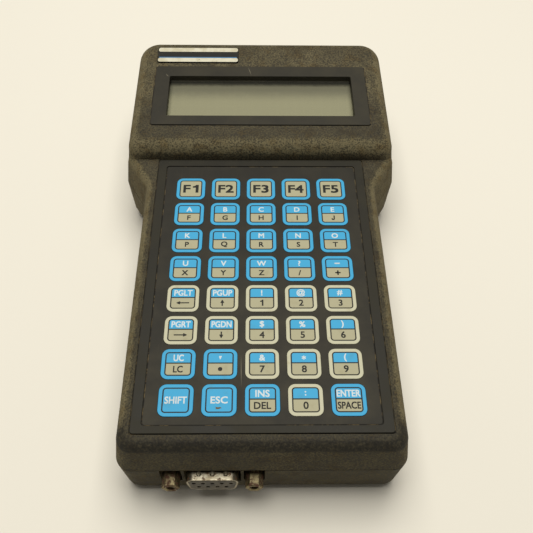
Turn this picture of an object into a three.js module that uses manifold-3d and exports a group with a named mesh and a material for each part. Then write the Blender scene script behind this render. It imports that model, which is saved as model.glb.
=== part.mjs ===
// Handheld data collector: a keypad terminal with a small display and a serial connector.
//
// Frame: +X to the user's right, +Y from the connector end to the display end, +Z up out of the keys.
// All lengths are millimetres and all angles degrees. A "station" is a distance along the case from
// the front wall at the parting line. The group that holds everything shifts stations to the origin,
// which is under the middle of the whole object.
import * as THREE from 'three';
import { mergeVertices } from 'three/addons/utils/BufferGeometryUtils.js';
import Module from 'manifold-3d';

// ---- Driving sizes: keypad -------------------------------------------------------------------
const keyNames = [
  ['f1', 'f2', 'f3', 'f4', 'f5'],
  ['a_f', 'b_g', 'c_h', 'd_i', 'e_j'],
  ['k_p', 'l_q', 'm_r', 'n_s', 'o_t'],
  ['u_x', 'v_y', 'w_z', 'question_slash', 'minus_plus'],
  ['page_left', 'page_up', '1', '2', '3'],
  ['page_right', 'page_down', '4', '5', '6'],
  ['upper_lower', 'quote_dot', '7', '8', '9'],
  ['shift', 'escape', 'insert_delete', '0', 'enter_space'],
];
const creamKeys = ['page_left', 'page_up', 'page_right', 'page_down', ...'0123456789'];
const keyPitchX = 12.7;
const keyPitchY = 11.94;
const keySize = 10.29;
const keyCornerRadius = 2.2;
const keyThickness = 1.2;
const keyProud = 0.2;            // key face above the overlay
const keyTravel = 0.4;           // full stroke of a key
const keySideMargin = 4.0;       // overlay beyond the outer columns
const keyFrontMargin = 2.5;      // overlay beyond the last row
const keyRearMargin = 6.0;       // overlay beyond the first row
const frameSideBand = 3.1;       // smooth frame around the overlay
const frameFrontBand = 2.4;
const frameRearBand = 3.2;
const frameProud = 0.2;          // frame face above the deck
const overlaySunk = 0.1;         // overlay face below the deck
const circuitThickness = 0.8;
const domeRadius = 4.0;
const tailWidth = 20;
const tailThickness = 0.6;
const tailSetback = 5;           // tail's middle ahead of the overlay's rear edge

// ---- Driving sizes: display head ---------------------------------------------------------------
const windowWidth = 71.7;
const windowLength = 22.2;
const bezelSideBand = 5.75;
const bezelFrontBand = 4.8;
const bezelRearBand = 5.8;
const bezelProud = 0.4;
const bezelLedge = 3.0;          // how far the bezel overlaps the case around its opening
const bezelRecess = 1.3;
const bezelSetback = 10.4;       // bezel behind the foot of the brow
const bezelCornerRadius = 1.0;
const paneThickness = 0.8;
const lcdBorder = 3.9;           // glass beyond the window, each side
const lcdThickness = 2.4;
const lcdFrameSheet = 0.5;
const lcdFrameDepth = 5.7;
const lcdBoardBorder = 4.5;      // board beyond the glass, left and right
const boardThickness = 1.6;
const nameplateWidth = 32.7;
const nameplateLength = 8.9;
const nameplateThickness = 0.5;
const nameplateRecess = 0.4;
const nameplateSetback = 2.5;    // nameplate behind the bezel
const headBackMargin = 8.7;      // case behind the nameplate, at the parting line

// ---- Driving sizes: case -----------------------------------------------------------------------
const deckHeight = 32.5;
const partingHeight = 21;
const browHeight = 7.4;
const headTilt = 2;
const draftAngle = 8;            // upper case walls
const lowerDraftAngle = 3.5;     // lower case walls
const gripRail = 5.6;            // case beyond the keypad frame, each side, at the parting line
const headRail = 10.25;          // case beyond the display bezel, each side, at the parting line
const frameSetback = 5.9;        // keypad frame behind the front wall
const shoulderLead = 12.8;        // shoulders start this far ahead of the brow
const shoulderTrail = 1.2;        // and end this far behind it
const wall = 2.5;
const deckFloor = 2.0;           // floor of the pocket under the keypad
const pocketDepth = 3.0;
const gripCornerRadius = 5;
const shoulderRadius = 3;
const backCornerRadius = 10.5;
const browCornerRadius = 4.6;
const deckEdgeRadius = 4.2;
const headEdgeRadius = 6.5;
const bottomEdgeRadius = 5;
const leastCaseRadius = 5;        // corners stay at least this round as the walls lean in
const lipHeight = 1.8;

// ---- Driving sizes: connector, screws and board ------------------------------------------------
const connectorX = -14.9;
const connectorHeight = 13.1;
const connectorReach = 2.2;      // connector face ahead of the front wall
const shellWidth = 16.3;
const shellHeight = 7.9;
const shellSlant = 10;
const shellCornerRadius = 2.2;
const shellSheet = 0.5;
const flangeWidth = 30.8;
const flangeHeight = 12.5;
const flangeThickness = 0.8;
const jackscrewSpacing = 24.99;
const jackscrewFlats = 4.75;
const jackscrewReach = 3.3;      // jackscrew tips ahead of the front wall
const jackscrewBore = 1.3;
const contactPitch = 2.77;
const contactRowPitch = 2.84;
const contactBore = 0.62;
const contactRise = 6.3;         // connector axis above the main board
const boardEndGap = 4;           // board behind the front wall
const boardRearReach = 6;        // board beyond the start of the shoulders
const boardPostRadius = 3;
const boardPostInset = 5;        // post axis inside the board's long edges
const frontPostSetback = 22;     // clear of the connector
const rearPostSetback = 6;
const chipHeight = 3.5;
const processorSize = 20;
const memoryWidth = 32;
const memoryLength = 12;
const memorySetback = 22;        // memory behind the board's middle
const buzzerRadius = 6;
const headerHeight = 5;
const lcdChipSize = 14;
const lcdChipSpacing = 40;
const lcdHoleRadius = 1.25;
const housingWidth = 19;
const housingDepth = 9;
const screwHeadRadius = 2.8;
const screwHeadHeight = 2.0;
const screwShankRadius = 1.3;
const screwSeat = 6.0;           // height of the ledge that a screw head pulls against
const screwLength = 16;
const bossRadius = 4.7;
const bossSplit = 2.0;           // bosses meet this far below the parting line
const screwWallGap = 8.0;        // screw axis to the inside of the wall

// ---- Clearances --------------------------------------------------------------------------------
const gap = 0.3;                 // between separate pieces that lie beside or on each other
const layerGap = 0.1;            // between flat layers of the keypad
const keyGap = 0.2;              // around a key in its window

// ---- Derived sizes -----------------------------------------------------------------------------
const radians = THREE.MathUtils.degToRad;
const rows = keyNames.length;
const columns = keyNames[0].length;
const keyFieldWidth = (columns - 1) * keyPitchX + keySize;
const keyFieldLength = (rows - 1) * keyPitchY + keySize;
const overlayWidth = keyFieldWidth + 2 * keySideMargin;
const overlayLength = keyFieldLength + keyFrontMargin + keyRearMargin;
const frameWidth = overlayWidth + 2 * (gap + frameSideBand);
const frameLength = overlayLength + 2 * gap + frameFrontBand + frameRearBand;
const overlayFront = frameSetback + frameFrontBand + gap;
const overlayMiddle = overlayFront + overlayLength / 2;
const frameMiddle = frameSetback + frameLength / 2;
const lastRowStation = overlayFront + keyFrontMargin + keySize / 2;
const browStation = frameSetback + frameLength + gap;

const bezelWidth = windowWidth + 2 * bezelSideBand;
const bezelLength = windowLength + bezelFrontBand + bezelRearBand;
const windowMiddle = bezelSetback + bezelFrontBand + windowLength / 2;
const bezelMiddle = bezelSetback + bezelLength / 2;
const nameplateMiddle = bezelSetback + bezelLength + nameplateSetback + nameplateLength / 2;
const nameplateX = (nameplateWidth - bezelWidth) / 2;
const headLength = nameplateMiddle + nameplateLength / 2 + headBackMargin;

const gripHalf = frameWidth / 2 + gripRail;
const headHalf = bezelWidth / 2 + headRail;
const caseLength = browStation + headLength;
const jackscrewTip = -jackscrewReach;
const lengthMiddle = (jackscrewTip + caseLength) / 2;
const draft = Math.tan(radians(draftAngle));
const tilt = Math.tan(radians(headTilt));
const pocketFloor = deckHeight - pocketDepth;
const gripCeiling = pocketFloor - deckFloor;
const mainBoardTop = connectorHeight - contactRise;
const mainBoardBottom = mainBoardTop - boardThickness;
const gripScrewX = gripHalf - wall - screwWallGap;
const headScrewX = headHalf - wall - screwWallGap;
const frontScrewStation = wall + screwWallGap;
const rearScrewStation = caseLength - wall - screwWallGap;

const screws = [
  { name: 'case_screw_front_left', x: -gripScrewX, station: frontScrewStation, inHead: false },
  { name: 'case_screw_front_right', x: gripScrewX, station: frontScrewStation, inHead: false },
  { name: 'case_screw_rear_left', x: -headScrewX, station: rearScrewStation, inHead: true },
  { name: 'case_screw_rear_right', x: headScrewX, station: rearScrewStation, inHead: true },
];

// ---- Solids: joining and cutting ---------------------------------------------------------------
const wasm = await Module();
wasm.setup();

function toSolid(geometry) {
  const bare = geometry.clone();
  bare.deleteAttribute('normal');
  bare.deleteAttribute('uv');
  const merged = mergeVertices(bare);
  return new wasm.Manifold(new wasm.Mesh({
    numProp: 3,
    vertProperties: new Float32Array(merged.attributes.position.array),
    triVerts: new Uint32Array(merged.index.array),
  }));
}

function toGeometry(solid) {
  const { vertProperties, triVerts } = solid.getMesh();
  const geometry = new THREE.BufferGeometry();
  geometry.setAttribute('position', new THREE.BufferAttribute(vertProperties, 3));
  geometry.setIndex(new THREE.BufferAttribute(triVerts, 1));
  geometry.computeVertexNormals();
  return geometry;
}

// Joins every geometry in added, then cuts away every one in removed.
function combine(added, removed = []) {
  let solid = toSolid(added[0]);
  for (const geometry of added.slice(1)) {
    solid = solid.add(toSolid(geometry));
  }
  for (const geometry of removed) {
    solid = solid.subtract(toSolid(geometry));
  }
  return toGeometry(solid);
}

// ---- Shapes: outlines, skins and simple blocks -------------------------------------------------

// Points of an anticlockwise outline whose corners are [x, y, radius, least radius]. The whole outline
// moves inwards by inset, and each corner keeps its own centre of curvature down to its least radius.
function outline(corners, inset = 0, steps = 4) {
  const points = [];
  corners.forEach(([x, y, radius, leastRadius = 0.4], i) => {
    const here = new THREE.Vector2(x, y);
    const [beforeX, beforeY] = corners.at(i - 1);
    const [afterX, afterY] = corners[(i + 1) % corners.length];
    const incoming = here.clone().sub(new THREE.Vector2(beforeX, beforeY)).normalize();
    const outgoing = new THREE.Vector2(afterX, afterY).sub(here).normalize();
    const inwardBefore = new THREE.Vector2(-incoming.y, incoming.x);
    const inwardAfter = new THREE.Vector2(-outgoing.y, outgoing.x);
    const mitre = inwardBefore.clone().add(inwardAfter).divideScalar(1 + inwardBefore.dot(inwardAfter));
    const turn = Math.atan2(incoming.cross(outgoing), incoming.dot(outgoing));
    const side = Math.sign(turn);
    const arcRadius = Math.max(radius - side * inset, leastRadius);
    const centre = here.clone().addScaledVector(mitre, inset + side * arcRadius);
    const startAngle = Math.atan2(-side * inwardBefore.y, -side * inwardBefore.x);
    for (let step = 0; step <= steps; step += 1) {
      const angle = startAngle + (turn * step) / steps;
      points.push([centre.x + arcRadius * Math.cos(angle), centre.y + arcRadius * Math.sin(angle)]);
    }
  });
  return points;
}

// A closed skin through rings with equal numbers of points, lowest ring first, capped at both ends.
function skin(rings) {
  const count = rings[0].length;
  const index = [];
  for (let level = 0; level < rings.length - 1; level += 1) {
    for (let i = 0; i < count; i += 1) {
      const a = level * count + i;
      const b = level * count + ((i + 1) % count);
      index.push(a, b, b + count, a, b + count, a + count);
    }
  }
  const cap = (ring, start, flip) => {
    const flat = ring.map(([x, y]) => new THREE.Vector2(x, y));
    for (const [a, b, c] of THREE.ShapeUtils.triangulateShape(flat, [])) {
      index.push(start + a, start + (flip ? c : b), start + (flip ? b : c));
    }
  };
  cap(rings[0], 0, true);
  cap(rings.at(-1), (rings.length - 1) * count, false);
  const geometry = new THREE.BufferGeometry();
  geometry.setAttribute('position', new THREE.Float32BufferAttribute(rings.flat(2), 3));
  geometry.setIndex(index);
  return geometry;
}

// A skin whose levels are [height, inset]. lift adds a height that depends on the station.
function stack(corners, levels, steps = 4, lift = () => 0) {
  const rings = levels.map(([height, inset]) => (
    outline(corners, inset, steps).map(([x, y]) => [x, y, height + lift(y)])
  ));
  return skin(rings);
}

function rectangle(width, length, radius, x = 0, y = 0) {
  return [
    [x - width / 2, y - length / 2, radius],
    [x + width / 2, y - length / 2, radius],
    [x + width / 2, y + length / 2, radius],
    [x - width / 2, y + length / 2, radius],
  ];
}

function plate(width, length, radius, bottom, top, x = 0, y = 0, steps = 3) {
  return stack(rectangle(width, length, radius, x, y), [[bottom, 0], [top, 0]], steps);
}

function block(width, length, bottom, top, x = 0, y = 0) {
  const geometry = new THREE.BoxGeometry(width, length, top - bottom);
  return geometry.translate(x, y, (top + bottom) / 2);
}

function post(radius, bottom, top, x, y, sides = 12) {
  const geometry = new THREE.CylinderGeometry(radius, radius, top - bottom, sides);
  return geometry.rotateX(Math.PI / 2).translate(x, y, (top + bottom) / 2);
}

// Levels of a rounded upper edge that starts at [height, inset].
function roundedTop(height, inset, radius, steps = 4) {
  return Array.from({ length: steps }, (_, i) => {
    const angle = ((i + 1) / steps) * (Math.PI / 2);
    return [height + radius * Math.sin(angle), inset + radius * (1 - Math.cos(angle))];
  });
}

// ---- Case outlines -----------------------------------------------------------------------------
const caseCorners = [
  [-gripHalf, 0, gripCornerRadius, leastCaseRadius],
  [gripHalf, 0, gripCornerRadius, leastCaseRadius],
  [gripHalf, browStation - shoulderLead, shoulderRadius],
  [headHalf, browStation + shoulderTrail, shoulderRadius],
  [headHalf, caseLength, backCornerRadius, leastCaseRadius],
  [-headHalf, caseLength, backCornerRadius, leastCaseRadius],
  [-headHalf, browStation + shoulderTrail, shoulderRadius],
  [-gripHalf, browStation - shoulderLead, shoulderRadius],
];

// The head's outline at the height of the deck, from which its walls rise.
const headInset = draft * (deckHeight - partingHeight);
const headCorners = [
  [-headHalf + headInset, browStation, browCornerRadius, leastCaseRadius],
  [headHalf - headInset, browStation, browCornerRadius, leastCaseRadius],
  [headHalf - headInset, caseLength - headInset, backCornerRadius - headInset, leastCaseRadius],
  [-headHalf + headInset, caseLength - headInset, backCornerRadius - headInset, leastCaseRadius],
];

const headTopAtBrow = deckHeight + browHeight;
const headLift = (station) => tilt * (station - browStation);

// Turns a geometry that is laid out on the head's top face, with its own y from the brow, into place.
function onHead(geometry) {
  return geometry.rotateX(radians(headTilt)).translate(0, browStation, headTopAtBrow);
}

// ---- Case --------------------------------------------------------------------------------------
const lipInset = wall / 2;

function upperBossTop(screw) {
  return screw.inHead ? headTopAtBrow + headLift(screw.station) - wall / 2 : gripCeiling + 0.8 * deckFloor;
}

function upperCase() {
  const partingTop = partingHeight + gap / 2;
  const wallTop = deckHeight - deckEdgeRadius;
  const wallInset = draft * (wallTop - partingHeight);
  const body = stack(caseCorners, [
    [partingTop, 0],
    [wallTop, wallInset],
    ...roundedTop(wallTop, wallInset, deckEdgeRadius),
  ]);
  const headWallTop = headTopAtBrow - headEdgeRadius;
  const headWallInset = draft * (headWallTop - deckHeight);
  const headFoot = stack(headCorners, [
    [wallTop, wallInset - headInset],
    [deckHeight, 0],
  ]);
  const headUpper = stack(headCorners, [
    [wallTop, wallInset - headInset],
    [headWallTop, headWallInset],
    ...roundedTop(headWallTop, headWallInset, headEdgeRadius),
  ], 4, (station) => headLift(station));
  const rebate = stack(caseCorners, [
    [partingHeight - wall, lipInset - gap / 2],
    [partingHeight + lipHeight + gap, lipInset - gap / 2],
  ]);
  const gripCavity = stack(caseCorners, [
    [partingHeight - wall, wall],
    [gripCeiling, wall + draft * (gripCeiling - partingHeight)],
  ]);
  const headCavity = stack(headCorners, [
    [partingHeight - wall, wall],
    [headTopAtBrow - 2 * wall, wall + draft * (browHeight - 2 * wall)],
    [headTopAtBrow - wall, 2 * wall],
  ], 4, (station) => headLift(station));
  const shell = combine([body, headFoot, headUpper], [rebate, gripCavity, headCavity]);
  const bosses = screws.map((screw) => (
    post(bossRadius, partingHeight - bossSplit + gap, upperBossTop(screw), screw.x, screw.station)
  ));
  const pilots = screws.map((screw) => (
    post(screwShankRadius + gap, 0, screwSeat + screwLength + 1, screw.x, screw.station, 8)
  ));
  const pocket = plate(frameWidth + 2 * gap, frameLength + 2 * gap, 1, pocketFloor, deckHeight + 1,
    0, frameMiddle);
  const tailSlot = block(tailWidth + 2, tailThickness + 1, gripCeiling - 1, pocketFloor + 1, 0, tailStation);
  const recess = onHead(plate(bezelWidth + 2 * gap, bezelLength + 2 * gap, bezelCornerRadius + gap,
    -bezelRecess, 1 + bezelProud, 0, bezelMiddle));
  const opening = onHead(block(bezelWidth - 2 * bezelLedge, bezelLength - 2 * bezelLedge,
    -3 * wall, 1, 0, bezelMiddle));
  const plateRecess = onHead(plate(nameplateWidth + 2 * gap, nameplateLength + 2 * gap, 1,
    -nameplateRecess, 1, nameplateX, nameplateMiddle));
  return combine([shell, ...bosses], [...pilots, pocket, tailSlot, recess, opening, plateRecess]);
}

const boardWidth = 2 * (gripScrewX - bossRadius - 2 * gap);
const boardFront = wall + boardEndGap;
const boardRear = browStation - shoulderLead + boardRearReach;
const boardMiddle = (boardFront + boardRear) / 2;
const boardPosts = [boardFront + frontPostSetback, boardRear - rearPostSetback].flatMap((station) => (
  [-1, 1].map((side) => [side * (boardWidth / 2 - boardPostInset), station])
));

// The lower case's front wall is open upwards around the connector and its two jackscrews.
function connectorSlots() {
  const slotTop = partingHeight + lipHeight + 1;
  const slotDepth = 4 * wall;
  const shellSlot = block(shellWidth + 2 * gap, slotDepth, connectorHeight - shellHeight / 2 - gap, slotTop,
    connectorX, 0);
  const flangeSlot = block(flangeWidth + 2 * gap, slotDepth, connectorHeight - flangeHeight / 2 - gap,
    slotTop, connectorX, flangeFront - gap + slotDepth / 2);
  const screwSlots = [-1, 1].map((side) => (
    block(jackscrewFlats + 1 + 2 * gap, slotDepth, connectorHeight - jackscrewFlats / 2 - 2 * gap, slotTop,
      connectorX + (side * jackscrewSpacing) / 2, 0)
  ));
  return [shellSlot, flangeSlot, ...screwSlots];
}

function lowerCase() {
  const lowerDraft = Math.tan(radians(lowerDraftAngle));
  const foot = lowerDraft * (partingHeight - bottomEdgeRadius);
  const edge = roundedTop(0, 0, bottomEdgeRadius).map(([height, inset]) => [
    bottomEdgeRadius - height,
    foot + inset,
  ]);
  const body = stack(caseCorners, [
    ...edge.reverse(),
    [bottomEdgeRadius, foot],
    [partingHeight - gap / 2, 0],
  ]);
  const lip = stack(caseCorners, [
    [partingHeight - wall, lipInset + gap / 2],
    [partingHeight + lipHeight, lipInset + gap / 2],
  ]);
  const cavity = stack(caseCorners, [
    [wall, wall + foot + bottomEdgeRadius / 2],
    [bottomEdgeRadius, wall + foot],
    [partingHeight - wall, wall + gap / 2],
    [partingHeight + lipHeight + 1, wall + gap / 2],
  ]);
  const tray = combine([body, lip], [cavity]);
  const bosses = screws.map(({ x, station }) => (
    post(bossRadius, wall / 2, partingHeight - bossSplit, x, station)
  ));
  const posts = boardPosts.map(([x, station]) => (
    post(boardPostRadius, wall / 2, mainBoardBottom - layerGap, x, station, 8)
  ));
  const counterbores = screws.map(({ x, station }) => (
    post(screwHeadRadius + 2 * gap, -1, screwSeat, x, station)
  ));
  const screwHoles = screws.map(({ x, station }) => (
    post(screwShankRadius + 2 * gap, 0, partingHeight, x, station, 8)
  ));
  return combine([tray, ...bosses, ...posts], [...counterbores, ...screwHoles, ...connectorSlots()]);
}

// A pan-head screw, head down, with a shallow round dimple for its recess.
function caseScrew() {
  const headBottom = screwSeat - layerGap - screwHeadHeight;
  const profile = [
    [0, headBottom + 1],
    [1, headBottom + 1],
    [1.2, headBottom],
    [screwHeadRadius - 0.6, headBottom],
    [screwHeadRadius, headBottom + 0.8],
    [screwHeadRadius, screwSeat - layerGap],
    [screwShankRadius, screwSeat - layerGap],
    [screwShankRadius, screwSeat + screwLength - 1],
    [0.5, screwSeat + screwLength],
    [0, screwSeat + screwLength],
  ].map(([radius, height]) => new THREE.Vector2(radius, height));
  return new THREE.LatheGeometry(profile, 12).rotateX(Math.PI / 2);
}

// ---- Keypad ------------------------------------------------------------------------------------
const overlayTop = deckHeight - overlaySunk;
const circuitBottom = pocketFloor + layerGap;
const circuitTop = circuitBottom + circuitThickness;
const overlayBottom = circuitTop + layerGap;
const keyTop = overlayTop + keyProud;
const keyBottom = keyTop - keyThickness;
const domeTop = keyBottom - keyTravel - layerGap;
const tailStation = overlayFront + overlayLength - tailSetback;

function keyPlace(row, column) {
  return {
    x: (column - (columns - 1) / 2) * keyPitchX,
    station: lastRowStation + (rows - 1 - row) * keyPitchY,
  };
}

function keyPlaces() {
  return keyNames.flatMap((names, row) => names.map((_, column) => keyPlace(row, column)));
}

function keyPad() {
  const chamfer = 0.25;
  return stack(rectangle(keySize, keySize, keyCornerRadius), [
    [keyBottom, 0],
    [keyTop - chamfer, 0],
    [keyTop, chamfer],
  ], 3);
}

function keypadOverlay() {
  const sheet = plate(overlayWidth, overlayLength, 0.8, overlayBottom, overlayTop, 0, overlayMiddle);
  const windowSize = keySize + 2 * keyGap;
  const windows = keyPlaces().map(({ x, station }) => (
    plate(windowSize, windowSize, keyCornerRadius + keyGap, overlayBottom - 1, overlayTop + 1, x, station)
  ));
  return combine([sheet], windows);
}

function keypadFrame() {
  const outer = plate(frameWidth, frameLength, 1, pocketFloor + layerGap, deckHeight + frameProud,
    0, frameMiddle);
  const opening = plate(overlayWidth + 2 * gap, overlayLength + 2 * gap, 1, pocketFloor - 1, deckHeight + 1,
    0, overlayMiddle);
  return combine([outer], [opening]);
}

// The switch sheet under the keys: one snap dome for each key, and a flat tail down to the main board.
function keypadCircuit() {
  const sheet = block(overlayWidth, overlayLength, circuitBottom, circuitTop, 0, overlayMiddle);
  const domes = keyPlaces().map(({ x, station }) => {
    const dome = new THREE.CylinderGeometry(domeRadius / 2, domeRadius, domeTop - circuitTop + 0.2, 8);
    return dome.rotateX(Math.PI / 2).translate(x, station, (domeTop + circuitTop - 0.2) / 2);
  });
  const tail = block(tailWidth, tailThickness, mainBoardTop + headerHeight + gap, circuitTop - layerGap,
    0, tailStation);
  return combine([sheet, ...domes, tail]);
}

// ---- Display, laid out on the head's top face ----------------------------------------------------
const lcdFrameTop = -wall - layerGap;
const paneBottom = lcdFrameTop + gap;
const lcdTop = lcdFrameTop - lcdFrameSheet - gap;
const lcdWidth = windowWidth + 2 * lcdBorder;
const lcdLength = windowLength + 3 * lcdBorder;
const lcdFrameWidth = lcdWidth + 2 * (gap + lcdFrameSheet);
const lcdFrameLength = lcdLength + 2 * (gap + lcdFrameSheet);
const lcdBoardTop = lcdFrameTop - lcdFrameDepth - gap;

function displayBezel() {
  const flange = plate(bezelWidth, bezelLength, bezelCornerRadius, gap - bezelRecess, bezelProud,
    0, bezelMiddle);
  const collarBorder = 2 * (bezelLedge + gap);
  const collar = block(bezelWidth - collarBorder, bezelLength - collarBorder, paneBottom, 0, 0, bezelMiddle);
  const opening = plate(windowWidth, windowLength, 0.6, -3 * wall, 1, 0, windowMiddle);
  return combine([flange, collar], [opening]);
}

function displayWindow() {
  return plate(windowWidth - 2 * gap, windowLength - 2 * gap, 0.6, paneBottom, paneBottom + paneThickness,
    0, windowMiddle);
}

function lcdGlass() {
  return block(lcdWidth, lcdLength, lcdTop - lcdThickness, lcdTop, 0, windowMiddle);
}

function lcdFrame() {
  const sheet = lcdFrameSheet;
  const frameBottom = lcdFrameTop - lcdFrameDepth;
  const outer = block(lcdFrameWidth, lcdFrameLength, frameBottom, lcdFrameTop, 0, windowMiddle);
  const inner = block(lcdFrameWidth - 2 * sheet, lcdFrameLength - 2 * sheet, frameBottom - 1,
    lcdFrameTop - sheet, 0, windowMiddle);
  const opening = plate(windowWidth + 1, windowLength + 1, 0.6, frameBottom, lcdFrameTop + 1, 0, windowMiddle);
  return combine([outer], [inner, opening]);
}

function lcdBoard() {
  const width = lcdWidth + 2 * lcdBoardBorder;
  const length = lcdFrameLength + 2;
  const bottom = lcdBoardTop - boardThickness;
  const board = block(width, length, bottom, lcdBoardTop, 0, windowMiddle);
  const chips = [-1, 1].map((side) => (
    block(lcdChipSize, lcdChipSize, bottom - 1.5, bottom + 0.5, (side * lcdChipSpacing) / 2, windowMiddle)
  ));
  const holes = [-1, 1].flatMap((sideX) => [-1, 1].map((sideY) => (
    post(lcdHoleRadius, bottom - 1, lcdBoardTop + 1, sideX * (width / 2 - 2),
      windowMiddle + sideY * (length / 2 - 3), 8)
  )));
  return combine([board, ...chips], holes);
}

function nameplate() {
  const bottom = gap - nameplateRecess;
  return plate(nameplateWidth, nameplateLength, 1.2, bottom, bottom + nameplateThickness,
    nameplateX, nameplateMiddle);
}

// ---- Main board and connector --------------------------------------------------------------------
function mainBoard() {
  const board = block(boardWidth, boardRear - boardFront, mainBoardBottom, mainBoardTop, 0, boardMiddle);
  const onBoard = mainBoardTop - 0.5;
  const chipTop = mainBoardTop + chipHeight;
  const processor = block(processorSize, processorSize, onBoard, chipTop, 0, boardMiddle);
  const memory = block(memoryWidth, memoryLength, onBoard, chipTop, 0, boardMiddle + memorySetback);
  const buzzer = post(buzzerRadius, onBoard, mainBoardTop + buzzerRadius, -boardWidth / 4,
    boardMiddle - memorySetback, 16);
  const header = block(tailWidth + 2, 4, onBoard, mainBoardTop + headerHeight, 0, tailStation);
  return combine([board, processor, memory, buzzer, header]);
}

const connectorFace = -connectorReach;
const flangeFront = wall + 3 * gap;
const flangeRear = flangeFront + flangeThickness;

// The connector's D, seen from the front: wide side up. shrink moves every side inwards.
function connectorOutline(shrink) {
  const narrowing = shellHeight * Math.tan(radians(shellSlant));
  const halfTop = shellWidth / 2;
  const halfBottom = halfTop - narrowing;
  const half = shellHeight / 2;
  const corners = [
    [connectorX - halfBottom, connectorHeight - half, shellCornerRadius],
    [connectorX + halfBottom, connectorHeight - half, shellCornerRadius],
    [connectorX + halfTop, connectorHeight + half, shellCornerRadius],
    [connectorX - halfTop, connectorHeight + half, shellCornerRadius],
  ];
  return outline(corners, shrink, 4);
}

// A prism along the case between two stations, from an anticlockwise outline of x and height.
function prism(points, from, to) {
  const rings = [to, from].map((station) => points.map(([x, height]) => [x, height, -station]));
  return skin(rings).rotateX(Math.PI / 2);
}

function connectorShell() {
  const flangeCorners = rectangle(flangeWidth, flangeHeight, 1.5, connectorX, connectorHeight);
  const flange = prism(outline(flangeCorners, 0, 3), flangeFront, flangeRear);
  const tube = prism(connectorOutline(0), connectorFace + layerGap, flangeRear);
  const bore = prism(connectorOutline(shellSheet), connectorFace - 1, flangeRear + 1);
  const screwHoles = [-1, 1].map((side) => (
    alongCase(1.6, flangeFront - 1, flangeRear + 1, connectorX + (side * jackscrewSpacing) / 2)
  ));
  return combine([flange, tube], [bore, ...screwHoles]);
}

// A round rod along the case at the connector's height.
function alongCase(radius, from, to, x, height = connectorHeight, sides = 8) {
  const geometry = new THREE.CylinderGeometry(radius, radius, to - from, sides);
  return geometry.translate(x, (from + to) / 2, height);
}

function connectorInsulator() {
  const nose = prism(connectorOutline(shellSheet + layerGap), connectorFace, flangeRear + 1);
  const housingTop = connectorHeight + flangeHeight / 2 - 1;
  const housing = block(housingWidth, housingDepth, mainBoardTop + layerGap, housingTop, connectorX,
    flangeRear + layerGap + housingDepth / 2);
  const sockets = [5, 4].flatMap((count, row) => Array.from({ length: count }, (_, i) => {
    const x = connectorX + (i - (count - 1) / 2) * contactPitch;
    const height = connectorHeight + (0.5 - row) * contactRowPitch;
    return alongCase(contactBore, connectorFace - 1, connectorFace + 5, x, height, 6);
  }));
  return combine([nose, housing], sockets);
}

// A hexagonal standoff with a threaded end, screwed through the connector's flange.
function jackscrew(side) {
  const x = connectorX + (side * jackscrewSpacing) / 2;
  const acrossCorners = jackscrewFlats / Math.cos(radians(30));
  const hexagon = alongCase(acrossCorners / 2, jackscrewTip, flangeFront - layerGap, x, connectorHeight, 6);
  const shank = alongCase(jackscrewBore, flangeFront - 1, flangeRear + 4, x);
  const bore = alongCase(jackscrewBore, jackscrewTip - 1, flangeFront - 2, x);
  return combine([hexagon, shank], [bore]);
}

// ---- Materials -----------------------------------------------------------------------------------
const finish = (color, roughness, metalness = 0) => (
  new THREE.MeshStandardMaterial({ color, roughness, metalness })
);
const casePlastic = finish('#4b4739', 0.75);
const bezelPlastic = finish('#3b3a36', 0.45);
const overlayFilm = finish('#3a3a36', 0.6);
const clearPane = finish('#c8cfc0', 0.1);
const displayGlass = finish('#8f907c', 0.2);
const tinplate = finish('#b4b2a6', 0.4, 0.9);
const circuitBoardGreen = finish('#2f5b38', 0.5);
const circuitFilm = finish('#b9b4a0', 0.5);
const connectorPlate = finish('#a9a08b', 0.4, 0.9);
const connectorPlastic = finish('#6d685c', 0.6);
const agedBrass = finish('#8c6a3e', 0.5, 0.8);
const blackScrew = finish('#33312c', 0.5, 0.8);
const plateFoil = finish('#d9d3bd', 0.4);
const keyInks = { blue: finish('#63b9e8', 0.5), cream: finish('#cbc5ae', 0.5) };

// ---- Assembly ------------------------------------------------------------------------------------
const assembly = new THREE.Group();
assembly.position.y = -lengthMiddle;

function place(parent, name, geometry, material) {
  const mesh = new THREE.Mesh(geometry, material);
  mesh.name = name;
  parent.add(mesh);
  return mesh;
}

place(assembly, 'upper_case', upperCase(), casePlastic);
place(assembly, 'lower_case', lowerCase(), casePlastic);
place(assembly, 'keypad_frame', keypadFrame(), bezelPlastic);
place(assembly, 'keypad_overlay', keypadOverlay(), overlayFilm);
place(assembly, 'keypad_circuit', keypadCircuit(), circuitFilm);
place(assembly, 'main_board', mainBoard(), circuitBoardGreen);
place(assembly, 'connector_shell', connectorShell(), connectorPlate);
place(assembly, 'connector_insulator', connectorInsulator(), connectorPlastic);
place(assembly, 'jackscrew_left', jackscrew(-1), agedBrass);
place(assembly, 'jackscrew_right', jackscrew(1), agedBrass);

for (const { name, x, station } of screws) {
  place(assembly, name, caseScrew(), blackScrew).position.set(x, station, 0);
}

keyNames.forEach((names, row) => {
  names.forEach((name, column) => {
    const { x, station } = keyPlace(row, column);
    const ink = creamKeys.includes(name) ? keyInks.cream : keyInks.blue;
    place(assembly, `key_${name}`, keyPad(), ink).position.set(x, station, 0);
  });
});

const headTop = new THREE.Group();
headTop.position.set(0, browStation, headTopAtBrow);
headTop.rotation.x = radians(headTilt);
assembly.add(headTop);

place(headTop, 'display_bezel', displayBezel(), bezelPlastic);
place(headTop, 'display_window', displayWindow(), clearPane);
place(headTop, 'lcd_glass', lcdGlass(), displayGlass);
place(headTop, 'lcd_frame', lcdFrame(), tinplate);
place(headTop, 'lcd_board', lcdBoard(), circuitBoardGreen);
place(headTop, 'nameplate', nameplate(), plateFoil);

export default assembly;
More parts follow.
